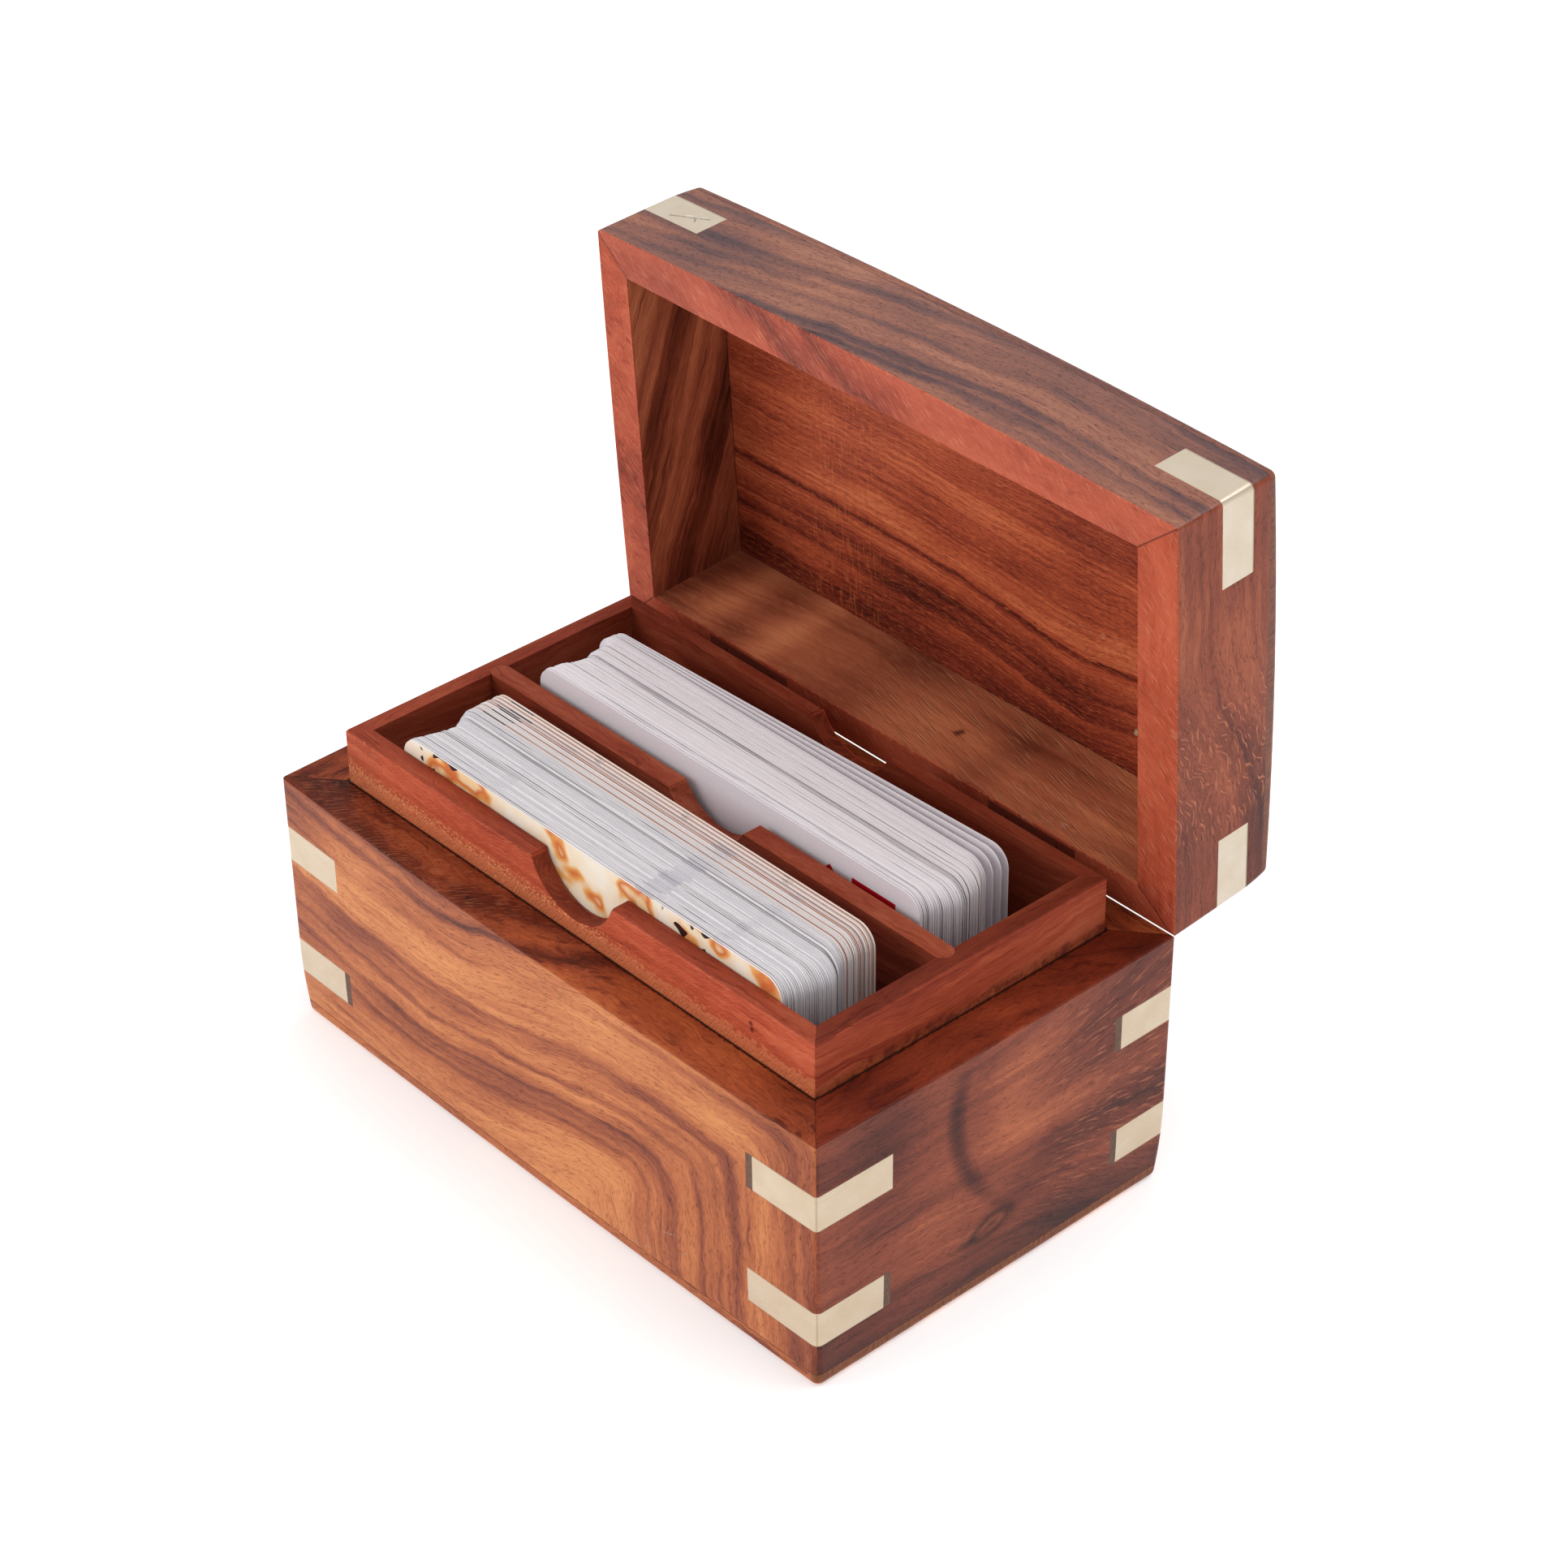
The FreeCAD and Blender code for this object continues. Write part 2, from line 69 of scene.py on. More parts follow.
# ---- table top: a wide sheet of plain white paper, seen only round the box. Its finish is the
# first one made, so the tools that every finish is made with stand here too.
class Shade:
    """A number, colour or place that varies over a surface: one socket of a finish."""

    def __init__(self, tree, socket=None):
        self.tree = tree
        self.socket = socket

    def node(self, kind, settings, inputs, output=0):
        """Any node: its settings are made first, then its sockets get values or links."""
        made = self.tree.nodes.new(kind)
        for key, value in settings.items():
            if key == "stops":
                while len(made.color_ramp.elements) < len(value):
                    made.color_ramp.elements.new(1.0)
                for element, (place, colour) in zip(made.color_ramp.elements, value):
                    element.position = place
                    element.color = colour
            else:
                setattr(made, key, value)
        for key, value in inputs.items():
            if isinstance(value, Shade):
                self.tree.links.new(value.socket, made.inputs[key])
            else:
                made.inputs[key].default_value = value
        return Shade(self.tree, made.outputs[output])

    def math(self, operation, *values):
        return self.node("ShaderNodeMath", {"operation": operation}, dict(enumerate(values)))

    def __add__(self, other):
        return self.math("ADD", self, other)

    def __sub__(self, other):
        return self.math("SUBTRACT", self, other)

    def __rsub__(self, other):
        return self.math("SUBTRACT", other, self)

    def __mul__(self, other):
        return self.math("MULTIPLY", self, other)

    __radd__ = __add__
    __rmul__ = __mul__

    def size(self):
        return self.math("ABSOLUTE", self)

    def top(self, other, blend=0.001):
        """The larger of two values, blended where they are close."""
        return self.math("SMOOTH_MAX", self, other, blend)

    def rise(self, low, high):
        """0 below the low value, 1 above the high one, and smooth between them."""
        return self.node(
            "ShaderNodeMapRange", {"interpolation_type": "SMOOTHSTEP"},
            {"Value": self, "From Min": low, "From Max": high},
        )

    def fall(self, low, high):
        return 1 - self.rise(low, high)

    def hump(self, centre, width):
        """1 at the centre, fading to nothing at the width on either side of it."""
        return (self - centre).size().fall(0.0, width)

    def mixed(self, other, share, blend="MIX"):
        """This colour with a share of another one. A mix has sockets for numbers and places
        too, under the same names, so its colour sockets go by number."""
        return self.node(
            "ShaderNodeMix", {"data_type": "RGBA", "blend_type": blend},
            {0: share, 6: self, 7: other}, 2,
        )

    def ramp(self, stops):
        """The colour that stands at this value on a row of (value, colour) stops."""
        return self.node("ShaderNodeValToRGB", {"stops": stops}, {"Fac": self})

    def close(self, surface):
        """Ends a finish with its surface."""
        output = self.tree.nodes.new("ShaderNodeOutputMaterial")
        self.tree.links.new(surface.socket, output.inputs["Surface"])

    def parts(self):
        """The X, Y and Z of a place."""
        made = self.node("ShaderNodeSeparateXYZ", {}, {"Vector": self})
        return [Shade(self.tree, socket) for socket in made.socket.node.outputs]

    def speckle(self, along, across, through, detail=2.0):
        """Noise about 0.5 at this number, stretched with two others as (value, scale) pairs."""
        scaled = [value * scale for value, scale in (along, across, through)]
        place = self.node("ShaderNodeCombineXYZ", {}, dict(enumerate(scaled)))
        noise = {"Vector": place, "Scale": 1.0, "Detail": detail}
        return self.node("ShaderNodeTexNoise", {}, noise)


def tint(red, green, blue):
    """A colour from 0-255 screen values, as the linear values that shaders take."""
    linear = []
    for value in (red, green, blue):
        share = value / 255
        linear.append(share / 12.92 if share <= 0.04045 else ((share + 0.055) / 1.055) ** 2.4)
    return (*linear, 1.0)


def start_finish(name):
    """An empty finish: the shade that its nodes are made from, and its material."""
    material = bpy.data.materials.new(name)
    material.use_nodes = True
    material.node_tree.nodes.clear()
    return Shade(material.node_tree), material


millimetres = 1000           # in a metre


def end_finish(shade, colour, roughness, height, depth, fixed):
    """Closes a finish: its varying colour and roughness, bumps of a depth in millimetres, and
    the values that are the same all over it."""
    bumps = {"Height": height, "Distance": depth / millimetres}
    normal = shade.node("ShaderNodeBump", {}, bumps)
    varying = {"Base Color": colour, "Roughness": roughness, "Normal": normal}
    surface = shade.node("ShaderNodeBsdfPrincipled", {}, {**varying, **fixed})
    shade.close(surface)


def make_mesh(name, points, faces):
    """A mesh piece from points in metres."""
    mesh = bpy.data.meshes.new(name)
    mesh.from_pydata(points, [], faces)
    mesh.update()
    piece = bpy.data.objects.new(name, mesh)
    bpy.context.scene.collection.objects.link(piece)
    return piece


table_half = 3.0
table_drop = 0.00005         # below the box, so that the two don't share a face
table_white = tint(232, 232, 232)
table_grey = tint(226, 226, 226)
table_glow = 0.4             # the paper is lit from below as well, so shadows on it are faint
table_roughness = 0.9

table = make_mesh(
    "table_top",
    [(-table_half, -table_half, -table_drop), (table_half, -table_half, -table_drop),
     (table_half, table_half, -table_drop), (-table_half, table_half, -table_drop)],
    [(0, 1, 2, 3)],
)
shade, material = start_finish("white_paper")
x, y, z = shade.node("ShaderNodeTexCoord", {}, {}, "Object").parts()
mottle = shade.speckle((x, 30.0), (y, 30.0), (z, 1.0))
paper = mottle.ramp([(0.0, table_white), (1.0, table_grey)])
glow = {"Emission Color": (1, 1, 1, 1), "Emission Strength": table_glow}
end_finish(shade, paper, table_roughness - mottle * 0.1, mottle, 0.05, glow)
table.data.materials.append(material)

# ---- light: a white room and two large soft boxes, one hung over the box and one standing low
# to its left, so that the front is lit and the edges of the cards stay crisp.
room_light = 0.62
lamp_aim = Vector((0, 0, 0.05))
lamps = {                    # place in metres, width in metres, power in watts
    "overhead_soft_box": ((0.25, 0.35, 1.3), 1.1, 10.0),
    "left_soft_box": ((-0.75, -1.15, 0.75), 0.8, 7.0),
}

world = bpy.data.worlds.new("white_room")
world.use_nodes = True
room = world.node_tree.nodes["Background"].inputs
room["Color"].default_value = (1, 1, 1, 1)
room["Strength"].default_value = room_light
bpy.context.scene.world = world
for name, (spot, width, power) in lamps.items():
    lamp = bpy.data.lights.new(name, "AREA")
    lamp.size = width
    lamp.energy = power
    holder = bpy.data.objects.new(name, lamp)
    holder.location = spot
    holder.rotation_euler = (lamp_aim - Vector(spot)).to_track_quat("-Z", "Y").to_euler()
    bpy.context.scene.collection.objects.link(holder)

# ---- base walls: four mitred boards of Indian rosewood, sanded, oiled and waxed outside, and
# left plainer on the rim. The figure of each board is a field of rings that its face cuts.
rim = 47.2                   # height of the base's rim, in millimetres like all finish sizes
case_half_x = 63.5
case_half_y = 37.12
tray_half_x = 55.4           # the tray's outside, which the base's walls stand round
tray_front = -29.82
tray_back = 30.32

hinge = next(joint for joint in frame["joints"] if joint["name"] == "lid_hinge")
lid_swing = math.radians(max(hinge["range_deg"]))
hinge_pin = hinge["pos_m"]


def place_on(shade, opened=False):
    """X, Y and height above the base's rim on a piece; on the lid, as placed when shut."""
    place = shade.node("ShaderNodeTexCoord", {}, {}, "Object")
    if opened:
        turn = {"Vector": place, "Center": hinge_pin, "Angle": lid_swing}
        place = shade.node("ShaderNodeVectorRotate", {"rotation_type": "X_AXIS"}, turn)
    x, y, z = place.parts()
    return x * millimetres, y * millimetres, z * millimetres - rim


def stroke(across, up, start, end, width):
    """1 on a straight mark between two points of a face, fading at its width and its ends."""
    run, rise = end[0] - start[0], end[1] - start[1]
    length = math.hypot(run, rise)
    run, rise = run / length, rise / length
    off = (across - start[0]) * rise - (up - start[1]) * run
    along = (across - start[0]) * run + (up - start[1]) * rise
    middle = (along - length / 2).size()
    return off.size().fall(width * 0.4, width) * middle.fall(length / 2 - width, length / 2)


def combed(across, up, slope, pitch, length):
    """Fine parallel lines of a sander or a saw, at a slope over a face."""
    steep = math.hypot(1, slope)
    along = (across + up * slope) * (1 / steep)
    off = (up - across * slope) * (1 / steep)
    return off.speckle((along, 1 / length), (off, 1 / pitch), (off, 0.0), 1.0).rise(0.52, 0.68)


def dress(piece, material):
    """Gives a piece its finish, in place of the plain one that it came with."""
    piece.data.materials.clear()
    piece.data.materials.append(material)


def toned(dark, tones):
    """A wood's colour: its tones from pale to deep, spread over a darkness from 0 to 1."""
    last = len(tones) - 1
    return dark.ramp([(step / last, tone) for step, tone in enumerate(tones)])


def rosewood(node, figure, rings, skin, zones=(), marks=None, opened=False, wander=3.4,
             contrast=1.0, gloss=0.12, fineness=1.0):
    """Gives a board its wood. The figure turns a place into how far along the grain it is, which
    ring it is in, its depth, and how shaded it is. Rings lists (ring, darkness). The skin is the
    board's tones from pale to deep, its roughness, its wax and how far its pores show; zones are
    parts of the board with another skin, and marks are what happened to this board alone."""
    shade, material = start_finish("rosewood_" + node)
    x, y, z = place_on(shade, opened)
    flow, ring, through, shadow = figure(x, y, z)
    bend = shade.speckle((x, 0.055), (y, 0.055), (z, 0.075), 3.0)
    ragged = shade.speckle((flow, 0.22), (ring, 0.5), (through, 0.3), 3.0)
    ring = ring + (bend - 0.5) * wander + (ragged - 0.5) * 1.4
    low, high = rings[0][0], rings[-1][0]
    stops = [((at - low) / (high - low), (dark, dark, dark, 1)) for at, dark in rings]
    line = ((ring - low) * (1 / (high - low))).ramp(stops)
    clouds = shade.speckle((flow, 0.035), (ring, 0.09), (through, 0.05))
    streaks = shade.speckle((flow, 0.03), (ring, 0.7 * fineness), (through, 0.2), 5.0)
    veins = shade.speckle((flow, 0.06), (ring, 1.7 * fineness), (through, 0.4)).rise(0.6, 0.67)
    fibres = shade.speckle((flow, 0.35), (ring, 4.5 * fineness), (through, 2.0), 3.0)
    pores = shade.speckle((flow, 0.8), (ring, 5.5), (through, 2.6), 1.0).rise(0.61, 0.68)
    threads = (streaks - 0.5) * 0.9 + (fibres - 0.5) * 0.55 + veins * 0.2
    dark = line * (clouds * 0.8 + 0.45) + threads * contrast
    dark = dark + (clouds - 0.5) * 0.4 + shadow
    tones, rough, wax, open_pores = skin
    colour = toned(dark, tones)
    for where, (tones, roughness, shine, opening) in zones:
        share = where(x, y, z)
        colour = colour.mixed(toned(dark, tones), share)
        rough = rough + (roughness - rough) * share
        wax = wax + (shine - wax) * share
        open_pores = open_pores + (opening - open_pores) * share
    pores = pores * open_pores
    colour = colour.mixed(pore_tone, pores, "MULTIPLY")
    height = fibres * 0.2 - pores * 0.8
    if marks:
        colour, height = marks(x, y, z, colour, height)
    rough = rough + (fibres - 0.5) * 0.2 + pores * 0.2
    fixed = {"Coat Weight": wax, "Coat Roughness": wax_roughness, "Specular IOR Level": gloss}
    end_finish(shade, colour, rough, height, grain_depth, fixed)
    dress(frame["nodes"][node], material)


grain_depth = 0.14
wax_roughness = 0.22
pore_tone = tint(128, 84, 70)
seam_tone = tint(44, 20, 14)
honey = (tint(216, 140, 84), tint(184, 104, 60), tint(140, 68, 42), tint(86, 38, 26))
russet = (tint(186, 104, 68), tint(144, 72, 50), tint(104, 48, 36), tint(62, 28, 24))
rim_brown = (tint(190, 104, 56), tint(150, 70, 38), tint(100, 38, 20), tint(52, 18, 10))
rim_red = (tint(164, 80, 40), tint(128, 50, 26), tint(88, 28, 14), tint(46, 14, 8))
# Painted reflection: brown tones greyed towards violet, standing in for the sheen of the bright
# room on the lid's glossy outside.
sheen_grey_tones = (tint(176, 118, 90), tint(140, 87, 70), tint(102, 66, 62), tint(64, 46, 52))
brick = (tint(208, 106, 74), tint(186, 84, 57), tint(158, 64, 42), tint(118, 44, 28))
tray_red = (tint(212, 110, 76), tint(184, 80, 52), tint(148, 56, 36), tint(98, 34, 22))
ember = (tint(222, 124, 80), tint(180, 82, 52), tint(128, 50, 34), tint(72, 24, 18))
umber = (tint(228, 146, 100), tint(184, 105, 72), tint(134, 68, 46), tint(78, 34, 22))
waxed = (0.36, 0.04, 0.4)    # roughness, wax and how far the pores show
planed = (0.5, 0.02, 0.3)
sawn = (0.58, 0.0, 0.12)


def deeper(tones, share):
    """The same tones with less light in them."""
    return tuple((*[part * share for part in tone[:3]], 1.0) for tone in tones)


def on_rim(x, y, z):
    """The base's rim and the corner of its edge."""
    return z.rise(-0.35, -0.1)


def beyond(x, y, side, front, back):
    """How far a place is outside a rectangle with its two ends at the same distance."""
    return (x.size() - side).top(front - y).top(y - back)


def rim_marks(x, y, z, colour, height):
    """Painted shade in the joint round the tray's foot, the mitres at the rim's corners, and
    saw marks at the left of the front rim."""
    out = beyond(x, y, tray_half_x, tray_front, tray_back)
    ragged = x.speckle((x, 1.1), (y, 1.1), (z, 0.1), 3.0)
    # Painted shade: a dark ragged line round the tray's foot. The mitres added to it are real dark
    # joints.
    foot = (out - (ragged - 0.4) * 0.9).fall(0.1, 0.35)
    foot = foot.top(out.fall(0.16, 0.22) * ragged.rise(0.3, 0.45))
    for end in (-1, 1):
        for near, far in ((tray_front, -case_half_y), (tray_back, case_half_y)):
            mitre = stroke(x, y, (end * tray_half_x, near), (end * case_half_x, far), 0.1)
            foot = foot.top(mitre * 0.5)
    foot = foot * on_rim(x, y, z)
    sawing = combed(x, y, 1.3, 0.3, 2.5) * x.fall(-20, 10) * y.fall(-30, -29) * on_rim(x, y, z)
    colour = colour.mixed(tint(170, 98, 62), sawing * 0.4)
    return colour.mixed(seam_tone, foot * 0.95), height - foot - sawing * 0.4


def front_figure(x, y, z):
    """Long waves that run level, then turn down into an arch near the right end."""
    dip = x.hump(-27, 52) * -8.5 - x.hump(-70, 40) * 4
    level = z - dip + (y + case_half_y) * 0.35
    turned = x * 0.77 - 47.5
    shadow = x.rise(42, 58) * 0.26 + x.fall(-62, -48) * z.rise(-14, -4) * 0.3
    shadow = shadow - (x - z * 0.5).hump(26, 26) * z.fall(-33, -24) * 0.12
    return x - z, level.top(turned, 7.0), y, shadow


front_rings = (
    (-50, 0.4), (-42, 0.2), (-35, 0.2), (-30, 0.36), (-28.2, 0.5), (-26.9, 0.8),
    (-26, 0.5), (-23.8, 0.6), (-22.6, 0.92), (-21.9, 0.5), (-19.6, 0.3), (-18.2, 0.74),
    (-17.4, 0.4), (-14.6, 0.5), (-12, 0.74), (-10.8, 0.3), (-7, 0.12), (-4.5, 0.2),
    (-2.2, 0.5), (-1, 0.3), (2.5, 0.35), (4, 0.76), (5, 0.4), (8, 0.7), (12, 0.5),
)


def front_marks(x, y, z, colour, height):
    """Pale broken scratches low on the right, and the rim's own marks."""
    scratches = stroke(x, z, (24.5, -38.8), (30.5, -36.6), 0.16)
    for start, end in (((30.5, -36.6), (35.2, -35.2)), ((21, -44.2), (25.8, -42.6)),
                       ((23.5, -41.5), (26, -40.6)), ((33.5, -39.2), (36, -36.4))):
        scratches = scratches.top(stroke(x, z, start, end, 0.14))
    scratches = scratches * x.speckle((x, 2.2), (z, 2.2), (y, 0.1), 2.0).rise(0.47, 0.6)
    colour = colour.mixed(tint(232, 200, 176), scratches * 0.6)
    return rim_marks(x, y, z, colour, height - scratches)


rosewood("base_front_wall", front_figure, front_rings, (honey, *waxed),
         [(on_rim, (rim_brown, *planed))], front_marks, contrast=0.85)


def end_figure(x, y, z):
    """Grain that fans out beyond the knot, with a pale heart beside the dark line above it."""
    depth = z + 11
    curve = y + 9.9 - depth * depth * 0.022
    line = curve.hump(0.6, 2.8) * z.rise(-38, -19) * z.fall(-9, 1) * 0.45
    shadow = line + curve.hump(4, 8) * 0.1 + y.hump(-24, 13) * z.hump(-14, 26) * 0.34
    shadow = shadow + z.fall(-46, -32) * 0.3 - y.hump(4, 18) * z.hump(-12, 22) * 0.3
    shadow = shadow + (z + 27).hump(0, 8) * y.rise(-4, 16) * 0.34 + y.rise(10, 36) * 0.12
    fan = (z + 17) * (1.0 - y.rise(-5, 45) * 0.5)
    return y, fan - 36 + x * 0.3, x, shadow


end_rings = (
    (-56, 0.7), (-46, 0.6), (-42, 0.45), (-38, 0.6), (-35, 0.4), (-31, 0.55), (-28, 0.35),
    (-24, 0.5), (-20, 0.4), (-17, 0.45), (-12, 0.6), (4, 0.5),
)


def curls(along, across, colour, region, sway):
    """Short pale strokes where the grain waves in and out of the face."""
    wave = along.speckle((along, 0.12), (across, 0.12), (along, 0.0), 1.0) - 0.5
    flecks = along.speckle((along, 0.26), (across + wave * sway, 2.6), (along, 0.0), 1.0)
    return colour.mixed(tint(190, 114, 80), flecks.rise(0.57, 0.68) * region * 0.42)


def knot(across, up, colour, tilt):
    """A small eye with a dark rim, drawn out to a point on its left."""
    long = (across + up * tilt) * (1 / 4.2)
    short = (up - across * tilt) * (1 / 1.9)
    eye = long.math("SQRT", long * long + short * short)
    ragged = across.speckle((across, 0.5), (up, 0.5), (up, 0.0), 3.0)
    eye = eye + (ragged - 0.5) * 0.7
    tail = (across + 5.5).hump(0, 3.6) * (up + 1.2).hump(0, 0.9)
    dark = eye.hump(0.95, 0.55) * 0.6 + eye.fall(0.1, 0.6) * 0.45 + tail * 0.6
    colour = colour.mixed(tint(58, 24, 18), eye.fall(0.8, 2.6) * 0.3)
    return colour.mixed(tint(46, 18, 14), dark)


def end_marks(x, y, z, colour, height):
    """A knot low in the middle, and curls in the grain behind it."""
    colour = knot(y + 1.4, z + 34.9, colour, 0.25)
    region = y.rise(2, 15) * z.fall(-4, 0) * z.rise(-44, -34)
    colour = curls(y, (z + 17) * (1.0 - y.rise(-5, 45) * 0.5), colour, region, 0.6)
    return rim_marks(x, y, z, colour, height)


rosewood("base_right_wall", end_figure, end_rings, (russet, *waxed),
         [(on_rim, (rim_red, *planed))], end_marks, contrast=0.65)


def left_figure(x, y, z):
    """Level grain with one rise behind the middle."""
    sway = y.hump(8, 34) * 5
    return y, z - sway + x * 0.3 + 19, x, y.hump(14, 12) * 0.15


def back_figure(x, y, z):
    """Long level waves from end to end."""
    sway = x.hump(20, 46) * -7 + x.hump(-40, 30) * 4
    return x, z - sway - (y - case_half_y) * 0.4, y, x.hump(-10, 40) * -0.1


left_rings = ((-36, 0.6), (-26, 0.4), (-18, 0.7), (-12, 0.4), (-4, 0.5), (0, 0.8), (2, 0.4),
              (9, 0.3), (13, 0.75), (15, 0.4), (22, 0.5))
rosewood("base_left_wall", left_figure, left_rings, (russet, *waxed),
         [(on_rim, (rim_brown, *planed))], rim_marks)
rosewood("base_back_wall", back_figure, front_rings, (russet, *waxed),
         [(on_rim, (rim_brown, *planed))], rim_marks)

# ---- bottom panel: one thin rosewood board, its grain along the box. It is glued up under the
# four walls and rounded off with them, so end grain shows at its two ends.
panel_thickness = 2.8
panel_seam = panel_thickness - rim
wiped = (0.42, 0.03, 0.4)


def panel_figure(x, y, z):
    """Grain along the box with one slow bend."""
    return x, y + x.hump(10, 50) * 4 + z * 0.5, z, z * 0.0


def end_grain(x, y, z, colour, share, fineness, deep, pale):
    """Short upright dashes where a panel's grain comes out at its ends."""
    dashes = x.speckle((y, fineness), (z, 0.4), (x, 0.0), 3.0)
    return colour.mixed(dashes.ramp([(0.3, deep), (0.65, pale)]), share)


def panel_marks(x, y, z, colour, height):
    """The seam under the walls, and end grain on the two ends."""
    ends = x.size().rise(case_half_x - 2.4, case_half_x - 1.2) * z.rise(0.6 - rim, 1.2 - rim)
    colour = end_grain(x, y, z, colour, ends, 1.8, tint(104, 56, 36), tint(138, 82, 52))
    seam = z.rise(panel_seam - 0.2, panel_seam - 0.05)
    return colour.mixed(seam_tone, seam * 0.6), height - seam


panel_rings = (
    (-42, 0.5), (-34, 0.2), (-26, 0.6), (-20, 0.3), (-12, 0.7), (-9, 0.35), (0, 0.2),
    (8, 0.5), (11, 0.8), (14, 0.4), (22, 0.25), (30, 0.6), (42, 0.3),
)
rosewood("base_bottom_panel", panel_figure, panel_rings, (honey, *wiped), (), panel_marks)

# ---- tray: four thin mitred boards with thumb notches, and a divider housed in the end ones.
# They are sawn, lightly sanded and rubbed with red stain, without wax.
tray_rim = 9.8               # above the base's rim
tray_wall = 3.3
tray_back_wall = 2.9
divider_middle = -0.75
divider_thickness = 3.6
notch_reach = 14             # from the middle of the box
# Painted shade: the inside faces and the notches take the tray's tones at these shares.
inside_light = 0.5           # shares of the outside's brightness
notch_light = 0.4


def tray_figure(x, y, z):
    """Straight grain along the box, with painted shade that darkens it down inside the base."""
    return x, z + x.hump(0, 60) * 1.5 + y * 0.6, y, z.fall(-30, 0) * 0.25


def tray_end_figure(x, y, z):
    """The same grain across the box, for the end boards, with the same painted shade low down."""
    return y, z + y.hump(0, 40) * 1.5 + x * 0.6, x, z.fall(-30, 0) * 0.25


tray_rings = (
    (-60, 0.45), (-40, 0.6), (-30, 0.3), (-20, 0.5), (-12, 0.35), (-5, 0.5), (0, 0.35),
    (4, 0.55), (9, 0.3), (20, 0.5), (34, 0.3), (46, 0.55),
)


def on_tray_rim(x, y, z):
    """The tray's top edge with its worn arrises."""
    return z.rise(tray_rim - 0.45, tray_rim - 0.05)


def inside_tray(x, y, z):
    """Faces that look into the two compartments."""
    out = beyond(x, y, tray_half_x - tray_wall, tray_front + tray_wall,
                 tray_back - tray_back_wall)
    return out.fall(0.05, 0.2)


def in_the_notch(x, y, z):
    """Cut surfaces across the thickness of the three boards that run along the box."""
    boards = ((tray_front + tray_wall / 2, tray_wall), (divider_middle, divider_thickness),
              (tray_back - tray_back_wall / 2, tray_back_wall))
    front, middle, back = ((y - centre).size().fall(thickness / 2 - 0.25, thickness / 2 - 0.1)
                           for centre, thickness in boards)
    near = x.size().fall(notch_reach, notch_reach + 1)
    return front.top(middle).top(back) * z.fall(tray_rim - 0.7, tray_rim - 0.3) * near


def tray_foot(x, y, z, colour, height):
    """Painted shade where the tray stands in the base, and a coarse file's work in a notch."""
    filed = in_the_notch(x, y, z) * combed(y, z + x, 0.4, 0.35, 2.0)
    colour = colour.mixed(tint(140, 62, 38), filed * 0.8)
    # Painted shade: a dark band along the foot of each outside face, where it meets the base's
    # rim.
    outside = beyond(x, y, tray_half_x, tray_front, tray_back).rise(-0.3, -0.1)
    foot = z.fall(0.05, 0.3) * outside
    return colour.mixed(seam_tone, foot * 0.6), height


def tray_front_marks(x, y, z, colour, height):
    """A rough sawn band along the foot with torn fibres over it, cross scratches at the left,
    and a dent at the right."""
    outside = y.fall(tray_front + 0.1, tray_front + 0.4)
    torn = x.speckle((x, 0.8), (z, 1.1), (y, 0.1), 5.0)
    band = (z + (torn - 0.5) * 6.0).fall(2.6, 3.4) * outside
    teeth = combed(x, z, 1.6, 0.34, 1.6)
    colour = colour.mixed(tint(226, 136, 90), band * (teeth * 0.4 + 0.5))
    frayed = x.speckle((x, 2.0), (z, 2.6), (y, 0.1), 3.0).rise(0.52, 0.64)
    frayed = frayed * (z - 3.3).size().fall(0.4, 1.5) * x.fall(4, 24) * outside
    colour = colour.mixed(tint(244, 176, 120), frayed * 0.7)
    left = x.fall(-50, -43) * outside * combed(x, z, -1.6, 0.3, 2.0)
    colour = colour.mixed(tint(214, 138, 100), left * 0.5)
    fine = combed(x, z, 0.5, 0.22, 2.5) * outside
    colour = colour.mixed(tint(212, 118, 88), fine * 0.25)
    dent = stroke(x, z, (41.2, 6.3), (42.1, 5.6), 0.5)
    dent = dent.top(stroke(x, z, (42.1, 5.6), (41.7, 4.4), 0.4)) * outside
    colour = colour.mixed(tint(92, 26, 18), dent * 0.8)
    return tray_foot(x, y, z, colour, height - band * teeth - dent * 2 - left)


def tray_side_marks(x, y, z, colour, height):
    """Torn grain, pale and dark, in a thin band along the foot of the right end."""
    outside = x.rise(tray_half_x - 0.3, tray_half_x - 0.1)
    torn = x.speckle((y, 0.7), (z, 0.8), (x, 0.1), 3.0)
    band = (z + (torn - 0.5) * 3.0).fall(0.8, 2.2) * outside
    torn_tone = torn.ramp([(0.4, tint(70, 30, 26)), (0.65, tint(176, 92, 52))])
    colour = colour.mixed(torn_tone, band * 0.6)
    return tray_foot(x, y, z, colour, height - band * torn)


# Each board: its figure, its marks, and the shares of the tones' brightness for its outside and
# its top edge. The lower outside shares are painted shade on the boards turned from the light.
tray_boards = (
    ("tray_front_wall", tray_figure, tray_front_marks, 1.0, 0.58),
    ("tray_back_wall", tray_figure, tray_foot, 0.9, 0.42),
    ("tray_divider", tray_figure, tray_foot, 0.85, 0.48),
    ("tray_left_wall", tray_end_figure, tray_side_marks, 0.9, 0.55),
    ("tray_right_wall", tray_end_figure, tray_side_marks, 0.72, 0.36),
)
for node, figure, marks, side_light, rim_light in tray_boards:
    # Painted shade: darker copies of the same red inside the compartments and in the notches.
    zones = [(inside_tray, (deeper(tray_red, inside_light), *sawn)),
             (in_the_notch, (deeper(tray_red, notch_light), *sawn)),
             (on_tray_rim, (deeper(tray_red, rim_light), *sawn))]
    rosewood(node, figure, tray_rings, (deeper(tray_red, side_light), *sawn), zones, marks)

